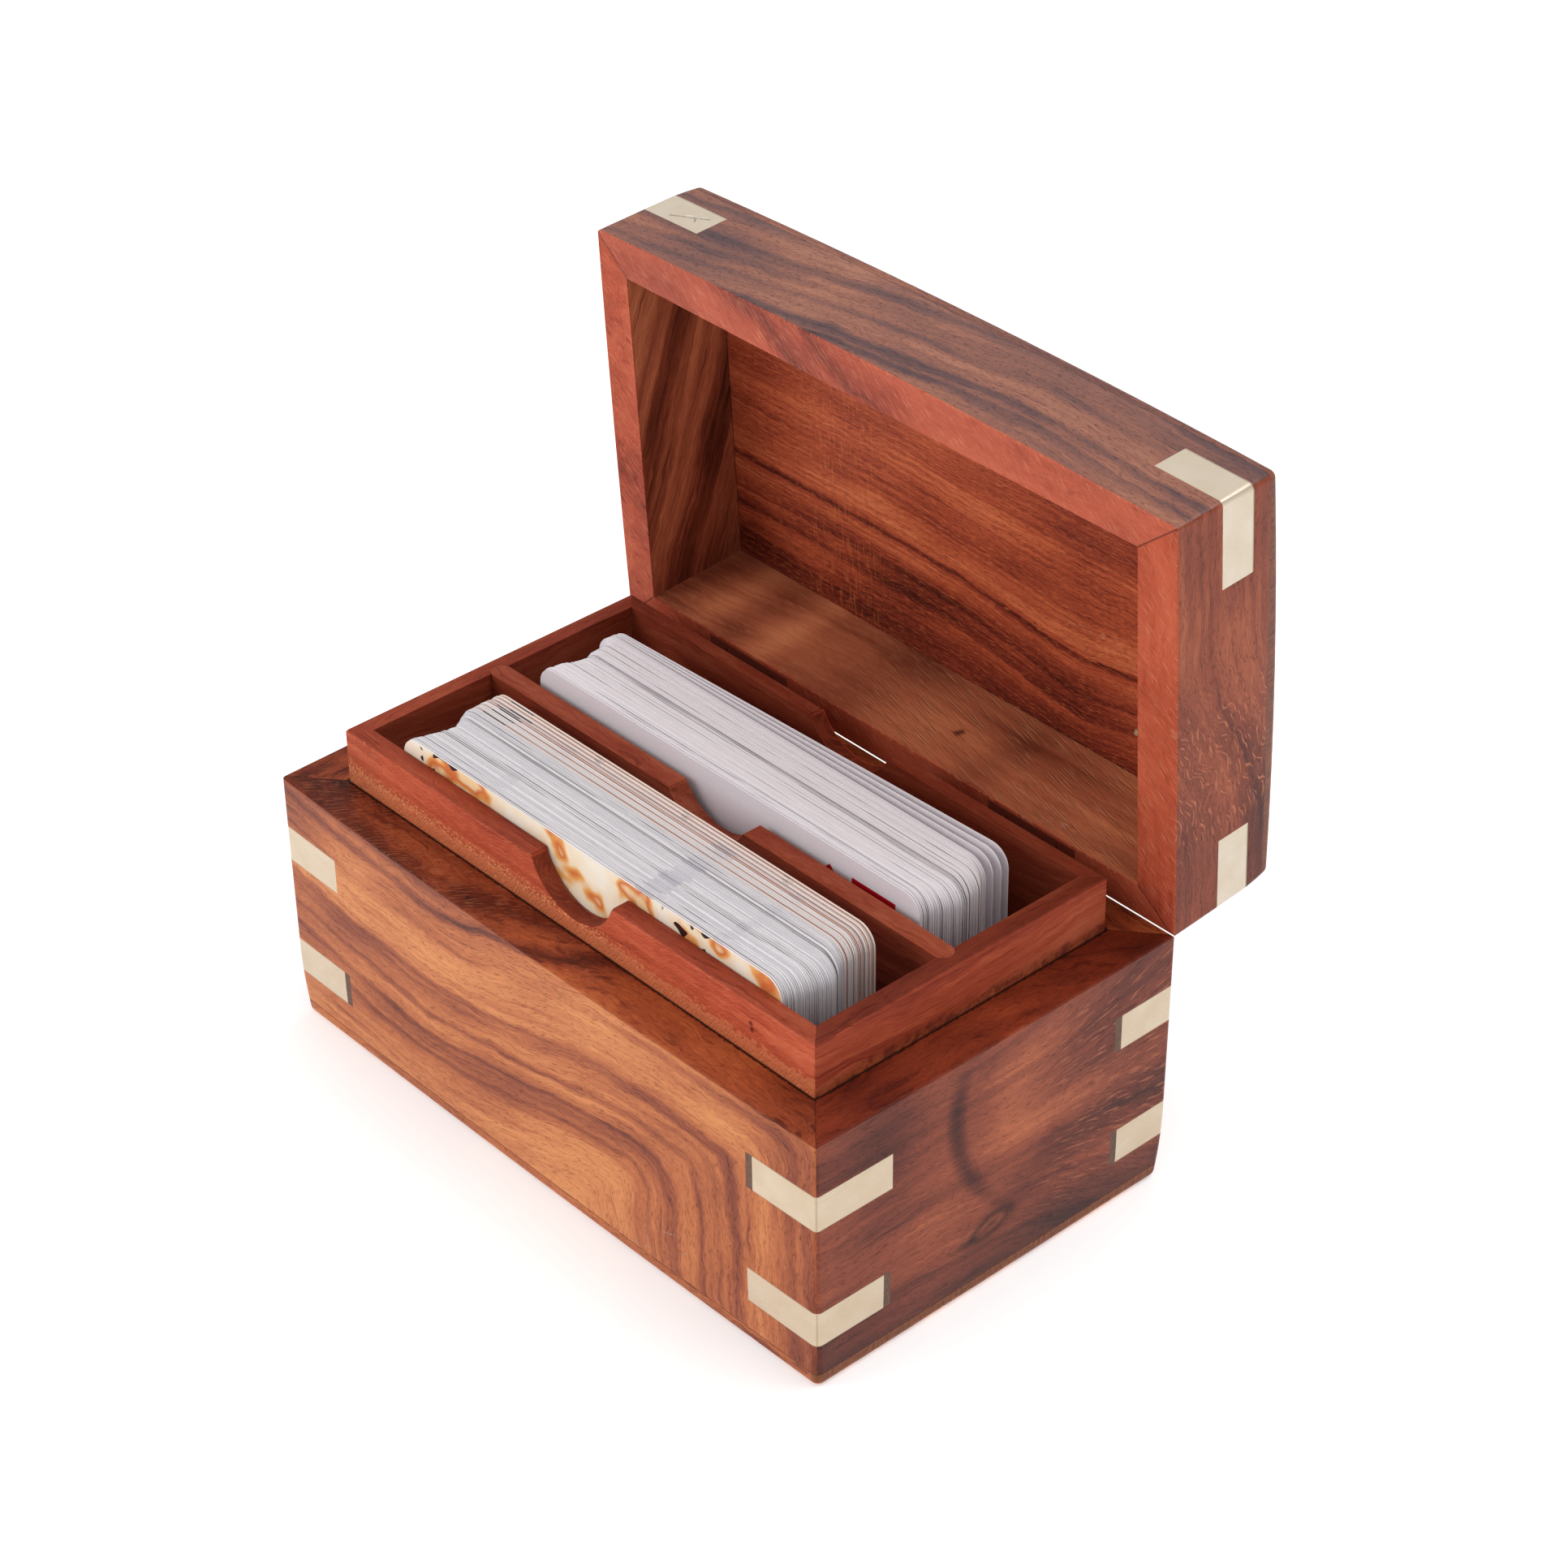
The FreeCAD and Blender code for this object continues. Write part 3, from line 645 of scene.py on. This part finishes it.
# ---- lid: four mitred walls under a planted, gently domed top panel. The walls are waxed
# outside, plain on the rim, and left as the sander left them inside.
lid_ceiling = 20.07          # above the base's rim, with the lid shut
lid_left, lid_front, lid_right, lid_back = -56.9, -30.7, 55.9, 31.02   # its opening
polished = (0.36, 0.1, 0.5)
scraped = (0.45, 0.02, 0.4)


def on_lid_rim(x, y, z):
    """The lid's rim, which faces the base's."""
    return z.fall(0.2, 0.45)


def inside_lid(x, y, z):
    """Inside the lid's opening."""
    out = (lid_left - x).top(x - lid_right).top(lid_front - y).top(y - lid_back)
    return out.fall(0.02, 0.12)


def lid_marks(x, y, z, colour, height):
    """The seam under the top panel, the mitres on the rim, and fine scratches across it."""
    seam = z.rise(lid_ceiling - 0.15, lid_ceiling - 0.03)
    rim_only = on_lid_rim(x, y, z)
    scratches = combed(x, y, 0.9, 0.25, 3.0) * rim_only
    colour = colour.mixed(tint(226, 140, 104), scratches * 0.35)
    for end, edge in ((-1, lid_left), (1, lid_right)):
        for near, far in ((lid_front, -case_half_y), (lid_back, case_half_y)):
            seam = seam.top(stroke(x, y, (edge, near), (end * case_half_x, far), 0.15) * rim_only)
    return colour.mixed(seam_tone, seam * 0.55), height - seam - scratches * 0.3


def lid_front_figure(x, y, z):
    """Grain that climbs from the left end and then runs level."""
    dip = x.fall(-75, 25) * -12 + x.hump(30, 26) * 1.2
    shadow = x.rise(40, 62) * z.rise(12, 18) * 0.3
    shadow = shadow + x.hump(-44, 14) * 0.16 - x.hump(-22, 10) * 0.1
    return x + z, z - dip + (y + case_half_y) * 0.3, y, shadow


lid_front_rings = (
    (-2, 0.5), (1.5, 0.35), (3.8, 0.8), (4.6, 0.45), (6.5, 0.95), (7.6, 0.4), (10.5, 0.3),
    (12.6, 0.65), (14, 0.35), (16, 0.55), (18, 0.35), (20, 0.8), (22, 0.5), (26, 0.35),
    (29, 0.75), (32, 0.4), (36, 0.6),
)
lid_rim_zone = (on_lid_rim, (brick, *sawn))
inside_zone = (inside_lid, (umber, *sawn))
# The front wall's greyed tones are a painted reflection.
rosewood("lid_front_wall", lid_front_figure, lid_front_rings, (sheen_grey_tones, *polished),
         [inside_zone, lid_rim_zone], lid_marks, opened=True, contrast=0.7, gloss=0.3)


def lid_right_figure(x, y, z):
    """Grain that turns up and curls behind the middle of the end."""
    shadow = y.rise(6, 30) * 0.15 - y.hump(-14, 16) * 0.1
    return y + z, z - y.rise(-14, 22) * 12 + x * 0.3, x, shadow


def lid_right_marks(x, y, z, colour, height):
    """Curls in the grain behind the middle, and a run of red stain near the back."""
    outside = x.rise(case_half_x - 1.5, case_half_x - 0.5)
    region = y.rise(-8, 2) * y.fall(18, 26) * outside * 1.9
    colour = curls(y + z, z - y.rise(-14, 22) * 12, colour, region, 7.0)
    stain = stroke(y, z, (24.4, 9.6), (24.4, 15.8), 1.1) * outside
    colour = colour.mixed(tint(170, 50, 26), stain * 0.6)
    return lid_marks(x, y, z, colour, height)


lid_end_rings = (
    (-25, 0.6), (-18, 0.4), (-10, 0.6), (-4, 0.35), (2, 0.5), (8, 0.35), (14, 0.5),
    (20, 0.4), (26, 0.65), (32, 0.4), (42, 0.6),
)
rosewood("lid_right_wall", lid_right_figure, lid_end_rings, (russet, *waxed),
         [inside_zone, lid_rim_zone], lid_right_marks, opened=True, contrast=0.7)


def lid_left_figure(x, y, z):
    """Straight grain that climbs towards the back."""
    return y, z + y * 0.38 + x * 0.02, x, y.rise(0, 30) * 0.1


lid_left_rings = (
    (-15, 0.5), (-6, 0.35), (-1, 0.5), (1.8, 1.0), (3.6, 0.95), (5.5, 0.5), (9, 0.35),
    (13, 0.4), (16.2, 0.85), (18.5, 0.9), (20.5, 0.6), (25, 0.7), (32, 0.5),
)
rosewood("lid_left_wall", lid_left_figure, lid_left_rings, (russet, *waxed),
         [inside_zone, lid_rim_zone], lid_marks, opened=True)


def lid_back_figure(x, y, z):
    """Plain grain crossed by soft bands where it waves."""
    bands = x.hump(-40, 5) + x.hump(-55, 6) + x.hump(-12, 12) + x.hump(18, 6) * 0.6
    pale = x.hump(-32, 5) + x.hump(-47, 4) * 0.7
    return x, z - x.hump(-20, 50) * 3 + y * 0.3 - 9, y, bands * 0.2 - pale * 0.2


def lid_back_marks(x, y, z, colour, height):
    """Inside: scratches from a coarse sander, a plugged hole and a scuff near the rim."""
    inside = y.fall(lid_back + 0.1, lid_back + 0.4)
    coarse = combed(x, z, -0.28, 0.32, 7.0) * x.rise(-20, 0) * inside
    fine = combed(x, z, -0.1, 0.22, 3.0) * x.fall(-6, 4) * inside
    colour = colour.mixed(tint(196, 134, 96), coarse * 0.55 + fine * 0.3)
    plug = stroke(x, z, (7.0, 9.3), (9.3, 8.5), 1.25) * inside
    colour = colour.mixed(tint(66, 20, 10), plug * 0.85)
    scuff = x.hump(37, 6) * z.hump(3.4, 1.6) * inside * combed(x, z, -0.3, 0.4, 2.0)
    colour = colour.mixed(tint(214, 176, 150), scuff * 0.6)
    return lid_marks(x, y, z, colour, height - coarse * 0.8 - plug)


rosewood("lid_back_wall", lid_back_figure, lid_end_rings, (russet, *waxed),
         [inside_zone, lid_rim_zone], lid_back_marks, opened=True, contrast=0.5)


def ceiling_figure(x, y, z):
    """Level streaks that rise to a low peak right of the middle."""
    peak = x.hump(22, 26) * (y.rise(-10, 25) * 3.4) + x.rise(-25, 10) * 0.8
    shadow = x.rise(5, 40) * y.fall(-8, 12) * 0.15 + y.rise(20, 31) * 0.15
    return x, y - peak + (z - lid_ceiling) * 0.6, z, shadow


ceiling_rings = (
    (-40, 0.5), (-31, 0.6), (-26, 0.75), (-22, 0.45), (-17, 0.7), (-12, 0.4), (-9, 0.6),
    (-5, 0.3), (-1, 0.45), (3, 0.6), (6, 0.35), (8.6, 0.3), (10, 0.5), (10.6, 1.1),
    (11.3, 0.55), (12.5, 0.3), (14, 0.4), (17, 0.85), (18, 0.5), (20.5, 0.9), (22, 0.45),
    (25, 0.6), (28, 0.8), (31, 0.6), (40, 0.5),
)


def under_panel(x, y, z):
    """The part of the top panel that shows inside the lid."""
    return inside_lid(x, y, z) * z.fall(lid_ceiling + 0.05, lid_ceiling + 0.2)


def ceiling_marks(x, y, z, colour, height):
    """Inside: pale and dark flecks, sanding lines across the grain, a spot of glue and a pale
    scratch. Outside: end grain on the two ends."""
    below = under_panel(x, y, z)
    flecks = x.speckle((x, 0.55), (y, 4.5), (z, 0.1), 2.0).rise(0.54, 0.68) * below
    colour = colour.mixed(tint(226, 126, 76), flecks * 0.4)
    nicks = x.speckle((x, 0.6), (y + 40, 4.0), (z, 0.1), 2.0).rise(0.58, 0.68) * below
    colour = colour.mixed(tint(92, 32, 22), nicks * 0.4)
    across = combed(y, x, 0.02, 0.5, 5.0) * x.hump(-30, 16) * below
    colour = colour.mixed(tint(232, 130, 74), across * 0.25)
    glue = stroke(x, y, (36.2, 23.4), (36.8, 21.8), 0.5) * below
    colour = colour.mixed(tint(196, 184, 150), glue * 0.8)
    scratch = stroke(x, y, (21, 8.9), (34, 6.9), 0.8) * combed(x, y, -0.15, 0.35, 1.6) * below
    colour = colour.mixed(tint(220, 140, 104), scratch * 0.7)
    ends = x.size().rise(case_half_x - 2.6, case_half_x - 1.4) * (1 - below)
    colour = end_grain(x, y, z, colour, ends * 0.9, 2.2, tint(98, 54, 40), tint(138, 82, 58))
    return colour, height - scratch * 0.6


rosewood("lid_top_panel", ceiling_figure, ceiling_rings, (sheen_grey_tones, *waxed),
         [(under_panel, (ember, *scraped))], ceiling_marks, opened=True, wander=1.4,
         fineness=2.4)

# ---- corner strips: flat brass let in flush round every corner and filed level with the wood,
# then rubbed bright. Fine sanding lines cross them, and the mitre shows on the corner edge.
brass_tones = {"base": (tint(212, 193, 168), tint(203, 182, 152)),
               "lid": (tint(217, 203, 184), tint(208, 192, 168))}
brass_edge = tint(128, 98, 66)
strip_half = 3.3             # half of a strip's height
strip_heights = {"base": (-12.7, -35.1), "lid": (12.8,)}   # of their middles, from the rim


def brass_strips(node, place):
    """Finishes the strips of one corner of the base or the lid, where the front left one of the
    lid has a dent."""
    shade, material = start_finish("brass_" + node)
    x, y, z = place_on(shade, opened=place == "lid")
    clouds = shade.speckle((x, 0.2), (y, 0.2), (z, 0.25), 3.0)
    lines = shade.speckle((x, 0.15), (y, 0.15), (z, 3.0), 2.0)
    colour = (clouds + (lines - 0.5) * 0.15).ramp([(0.3, brass_tones[place][0]),
                                                  (0.75, brass_tones[place][1])])
    mitre = ((x.size() - case_half_x) - (y.size() - case_half_y)).size().fall(0.05, 0.3)
    dull = mitre * 0.6
    for middle in strip_heights[place]:
        dull = dull.top((z - middle).size().hump(strip_half, 0.22))
    colour = colour.mixed(brass_edge, dull * 0.6)
    rough = 0.3 + (lines - 0.5) * 0.2 + (clouds - 0.5) * 0.2
    if node == "lid_strips_front_left":
        front = y.fall(-36, -35)
        worn = x.speckle((x, 1.6), (z, 1.6), (y, 0.1), 2.0).rise(0.4, 0.55)
        cut = stroke(x, z, (-58.4, 10.9), (-51.8, 14.2), 0.28)
        dent = cut.top(stroke(x, z, (-54.4, 13.2), (-53.2, 11.9), 0.24)) * (worn * 0.6 + 0.4)
        # Painted highlight: a pale blue-white glint along the dent.
        glint = stroke(x, z, (-56.6, 12.3), (-52.4, 14.3), 0.34)
        colour = colour.mixed(tint(240, 242, 252), glint * front * worn * 0.6)
        colour = colour.mixed(tint(112, 100, 84), dent * front * 0.6)
        lines = lines - dent * front * 4
    end_finish(shade, colour, rough, lines, 0.005, {"Metallic": 0.4})
    dress(frame["nodes"][node], material)


for node in frame["nodes"]:
    if "_strips_" in node:
        brass_strips(node, node.split("_")[0])

# ---- stopping: dark wax and wood dust, pressed into the ends of the strips' slots that were
# cut too long, and sanded flush with the walls.
shade, material = start_finish("dark_stopping")
x, y, z = place_on(shade)
grit = shade.speckle((x, 1.5), (y, 1.5), (z, 1.5), 4.0)
colour = grit.ramp([(0.3, tint(74, 48, 34)), (0.7, tint(112, 76, 54))])
end_finish(shade, colour, 0.6 + (grit - 0.5) * 0.3, grit, 0.1, {})
dress(frame["nodes"]["base_strip_fillers"], material)

# ---- hinges: two plain butts of sheet brass, tarnished, each with a pin and four screws. The
# red stain of the rims was brushed on over their leaves.
brass_bright = tint(150, 112, 62)
brass_tarnished = tint(84, 58, 36)
hinge_line = hinge_pin[1] * millimetres
stain_reach = 2.2            # from the pin's centre


def hinge_finish(name, opened):
    """Tarnished brass round the pin, and stain over the leaves in front of it."""
    shade, material = start_finish(name)
    x, y, z = place_on(shade, opened)
    tarnish = shade.speckle((x, 0.6), (y, 0.6), (z, 0.6), 4.0)
    rolled = shade.speckle((x, 0.4), (y, 9.0), (z, 9.0), 2.0)
    colour = tarnish.ramp([(0.3, brass_bright), (0.65, brass_tarnished)])
    stain = (hinge_line - y).rise(stain_reach - 0.6, stain_reach) * tarnish.rise(0.1, 0.3)
    colour = colour.mixed(tint(120, 52, 34), stain)
    rough = 0.3 + (tarnish - 0.4) * 0.5 + (rolled - 0.5) * 0.2 + stain * 0.2
    end_finish(shade, colour, rough, rolled, 0.02, {"Metallic": 1 - stain})
    return material


lid_brass = hinge_finish("hinge_brass_lid", True)
base_brass = hinge_finish("hinge_brass_base", False)
for node, piece in frame["nodes"].items():
    if "_hinge_" in node:
        dress(piece, lid_brass if "_lid_" in node else base_brass)

# ---- playing cards: two decks of thin card, each card cut with round corners. A deck is a face
# card, two packets of cards pressed together, and a few loose cards at the back.
card_stock = 0.28
card_corner = 3.5
arc_steps = 6                # of a round corner
middle_steps = 8             # between the corners
packed_share = 0.86          # a card's share of its room in a packet, the rest being air
most_shift = 0.13            # that one card stands off along its packet
most_lift = 0.14             # that one card stands up in its packet
most_tilt = 0.001            # slope of one card in its own plane
smooth_angle = 40            # degrees, above which an edge stays sharp
cut_edge = 0                 # the two finishes that a card has
printed_face = 1


def card_columns(length):
    """Places along a card with the share of the corner's radius that its edge is lowered."""
    half = length / 2
    columns = []
    for step in range(arc_steps + 1):
        angle = math.pi / 2 * step / arc_steps
        columns.append((-half + card_corner * (1 - math.cos(angle)), 1 - math.sin(angle)))
    inner = half - card_corner
    for step in range(1, middle_steps):
        columns.append((-inner + 2 * inner * step / middle_steps, 0.0))
    return columns + [(-x, drop) for x, drop in reversed(columns[:arc_steps + 1])]


def lay_card(points, faces, kinds, sides, low, high, shift, lift, tilt, fan):
    """Adds one card to a packet's lists. Its box is given by two corners in millimetres; it is
    shifted along, lifted, tilted in its own plane by a slope, and its left end fans forward."""
    length = high.x - low.x
    middle_x = (low.x + high.x) / 2
    first = len(points)
    columns = card_columns(length)
    for x, drop in columns:
        forward = fan * (0.5 - x / length)
        for side, y in enumerate((low.y, high.y)):
            for z in (low.z + drop * card_corner, high.z - drop * card_corner):
                points.append(((middle_x + x + shift) / millimetres, (y - forward) / millimetres,
                               (z + lift + tilt * x) / millimetres))
                sides.append(side)
    for number in range(len(columns) - 1):
        a = first + 4 * number
        b = a + 4
        faces += [(a, b, b + 1, a + 1), (a + 2, a + 3, b + 3, b + 2)]
        kinds += [printed_face, printed_face]
        faces += [(a, a + 2, b + 2, b), (a + 1, b + 1, b + 3, a + 3)]
        kinds += [cut_edge, cut_edge]
    last = first + 4 * (len(columns) - 1)
    faces += [(first, first + 1, first + 3, first + 2), (last, last + 2, last + 3, last + 1)]
    kinds += [cut_edge, cut_edge]


def stack_cards(node, count, body, drift, fan, finishes, dice):
    """A packet: the same box as its node, filled with cards that each stand a little off. Loose
    cards fan out, so that they are closer together at their left ends."""
    low, high = (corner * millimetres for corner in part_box(node))
    pitch = (high.y - low.y - card_stock) / max(count - 1, 1)
    thickness = min(card_stock, pitch * packed_share) if count > 1 else card_stock
    points, faces, kinds, sides, leaves = [], [], [], [], []
    for number in range(count):
        y = low.y + number * pitch
        front = Vector((low.x, y, low.z))
        back = Vector((high.x, y + thickness, high.z))
        shift = drift(y) + dice.uniform(-most_shift, most_shift)
        lift = dice.uniform(0.0, most_lift) if count > 1 else 0.0
        tilt = dice.uniform(-1, 1) * most_tilt
        before = len(faces)
        lay_card(points, faces, kinds, sides, front, back, shift, lift, tilt,
                 fan * (number + 1))
        leaves += [dice.random()] * (len(faces) - before)
    piece = make_mesh(node + "_cards", points, faces)
    mesh = piece.data
    for material in finishes:
        mesh.materials.append(material)
    mesh.polygons.foreach_set("material_index", kinds)
    mesh.polygons.foreach_set("use_smooth", [True] * len(kinds))
    mesh.attributes.new("leaf", "FLOAT", "FACE").data.foreach_set("value", leaves)
    mesh.attributes.new("side", "FLOAT", "POINT").data.foreach_set("value", sides)
    mesh.set_sharp_from_angle(angle=math.radians(smooth_angle))
    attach(piece, body)
    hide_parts(node)


ink = tint(26, 24, 28)
orange_print = tint(150, 84, 46)
worn_board = tint(236, 220, 204)
# Painted shade for the low right ends of the card edges.
end_shade_grey = tint(104, 98, 112)


def card_edges(name, paper_tones, line_tone, smudges, parting, worn_from=99.0):
    """Cut edges: white board between two printed skins, each card a little darker or lighter
    than the next, with smudges where the print shows at the edge. A dark line shows where the
    two packets part. The cards behind worn_from are browned by handling, and a few of them carry
    black dashes near their left ends."""
    shade, material = start_finish(name)
    x, y, z = place_on(shade)
    leaf = shade.node("ShaderNodeAttribute", {"attribute_name": "leaf"}, {}, "Fac")
    side = shade.node("ShaderNodeAttribute", {"attribute_name": "side"}, {}, "Fac")
    fuzz = shade.speckle((x, 0.5), (y, 2.5), (z, 0.5), 3.0)
    broken = shade.speckle((x, 0.05), (leaf, 60.0), (z, 0.04), 2.0)
    colour = (leaf * 0.5 + fuzz * 0.3).ramp([(0.1, paper_tones[0]), (0.65, paper_tones[1])])
    worn = y.rise(worn_from - 0.8, worn_from)
    colour = colour.mixed(worn_board, worn * 0.35)
    ends = x.rise(41, 46)
    # Painted shade: the cards' right ends, deep in the tray, darken to grey towards the bottom.
    colour = colour.mixed(end_shade_grey, ends * z.fall(1, 11) * (leaf * 0.4 + 0.2))
    skins = (side - 0.5).size().rise(0.2, 0.5) * (broken * 0.5 + 0.1)
    seam = broken.rise(0.42, 0.6) * 0.65 + ends * 0.3 + 0.25
    seam = side.rise(0.35, 0.55) * leaf.rise(0.72, 0.78) * seam
    between = (y - parting).size().fall(0.15, 0.4) * (broken * 0.6 + 0.45)
    colour = colour.mixed(line_tone, skins.top(seam).top(between))
    brown = side.rise(0.15, 0.4) * leaf.rise(0.5, 0.6) * (broken * 0.5 + 0.6) * worn
    colour = colour.mixed(orange_print, brown)
    dash = (x + 26.0 + leaf * 12.0).size().fall(2.7, 2.9) * leaf.rise(0.74, 0.76) * worn
    colour = colour.mixed(ink, dash * side.rise(0.1, 0.2) * z.rise(10, 11.5))
    for start, end, tone, strength in smudges:
        middle, width = (start + end) / 2, abs(end - start) / 2 + 0.6
        shift = (leaf - 0.5) * 2.4
        patch = (x + shift).hump(middle, width).rise(0.1, 0.4) * leaf.rise(0.15, 0.7)
        colour = colour.mixed(tone, patch * (0.4 + skins) * z.rise(11, 12.3) * strength)
    end_finish(shade, colour, 0.62 + (fuzz - 0.5) * 0.2, fuzz, 0.03, {"Specular IOR Level": 0.3})
    return material


def card_face(name, print_on):
    """The smooth, faintly glossy face of a card, with what is printed on it."""
    shade, material = start_finish(name)
    x, y, z = place_on(shade)
    linen = shade.speckle((x, 3.0), (y, 3.0), (z, 3.0), 2.0)
    colour = print_on(x, z, linen.ramp([(0.2, tint(238, 233, 238)), (0.9, tint(246, 242, 246))]))
    end_finish(shade, colour, 0.35 + (linen - 0.5) * 0.2, linen, 0.02, {"Specular IOR Level": 0.3})
    return material


def unprinted(x, z, colour):
    """A blank face."""
    return colour


def autumn_pattern(x, z, colour):
    """Cream ground strewn with amber patches and round brown dabs, over the whole face."""
    patches = x.speckle((x + 7, 0.11), (z, 0.14), (x, 0.0), 2.0)
    cream = patches.ramp([(0.36, tint(248, 238, 220)), (0.5, tint(246, 224, 192)),
                          (0.54, tint(238, 172, 98)), (0.6, tint(214, 112, 60)),
                          (0.66, tint(244, 210, 160))])
    dabs = x.speckle((x, 0.42), (z, 0.5), (x, 0.0), 0.0).rise(0.62, 0.65)
    bunch = x.hump(-33, 10) + x.hump(24, 8)
    return cream.mixed(tint(48, 22, 28), dabs * bunch.rise(0.1, 0.25))


def red_border(x, z, colour):
    """A plain red corner block and a small pip beside it."""
    block = x.rise(28.4, 28.6) * x.fall(38.0, 38.2) * z.fall(9.3, 9.4)
    pip = ((x - 23.6).size() + (z - 8.4).size()).fall(0.85, 0.95)
    return colour.mixed(tint(196, 16, 34), block.top(pip))


slate = tint(96, 102, 124)
worn_line = -13.4            # the front deck's cards behind this are browned
front_smudges = ((-24, -21, slate, 0.3), (12, 17, slate, 0.8), (30, 32, slate, 0.4))
loose_smudges = ((-17.5, -16.8, ink, 0.9), (3, 3.8, ink, 0.8), (26, 26.8, ink, 0.7))
front_parting, back_parting = (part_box(deck + "_back_packet")[0].y * millimetres
                               for deck in ("front_deck", "back_deck"))
front_edges = card_edges("front_deck_edges", (tint(190, 188, 192), tint(238, 235, 236)),
                         tint(46, 40, 44), front_smudges, front_parting, worn_from=worn_line)
front_loose_edges = card_edges("front_deck_loose_edges",
                               (tint(222, 206, 190), tint(240, 230, 220)), orange_print,
                               loose_smudges, front_parting, worn_from=worn_line)
back_edges = card_edges("back_deck_edges", (tint(226, 219, 223), tint(246, 242, 244)),
                        tint(66, 50, 54), (), back_parting)
white_face = card_face("white_card_face", unprinted)
autumn_face = card_face("autumn_card_face", autumn_pattern)
red_face = card_face("red_block_card_face", red_border)


def swayed(turns):
    """How far cards stand off along the deck, from (place, shift) turning points."""
    def drift(y):
        for (start, low), (end, high) in zip(turns, turns[1:]):
            if y <= end:
                return low + (high - low) * (y - start) / (end - start)
        return turns[-1][1]
    return drift


front_drift = swayed(((-26.4, -0.3), (-20.0, 1.6), (-18.2, 1.9), (-16.4, 0.9), (-14.4, -0.5),
                      (-11.0, -0.7), (-7.0, -0.5)))
back_drift = swayed(((2.4, -0.2), (5.2, 0.3), (8.3, 1.6), (10.2, 1.9), (10.9, 1.2), (14.0, 0.9),
                     (15.4, -0.7), (21.4, -0.2)))
dice = random.Random(52)
deck_makings = (             # deck, part, number of cards, drift, fan per card and finishes
    ("front_deck", "_face_card", 1, front_drift, 0.0, (front_edges, autumn_face)),
    ("front_deck", "_front_packet", 28, front_drift, 0.0, (front_edges, white_face)),
    ("front_deck", "_back_packet", 20, front_drift, 0.0, (front_edges, white_face)),
    ("front_deck", "_loose_cards", 5, front_drift, 0.05, (front_loose_edges, white_face)),
    ("back_deck", "_face_card", 1, back_drift, 0.0, (back_edges, red_face)),
    ("back_deck", "_front_packet", 27, back_drift, 0.0, (back_edges, white_face)),
    ("back_deck", "_back_packet", 23, back_drift, 0.0, (back_edges, white_face)),
    ("back_deck", "_loose_cards", 3, back_drift, 1.1, (back_edges, white_face)),
)
for deck, part, count, drift, fan, finishes in deck_makings:
    stack_cards(deck + part, count, deck, drift, fan, finishes, dice)
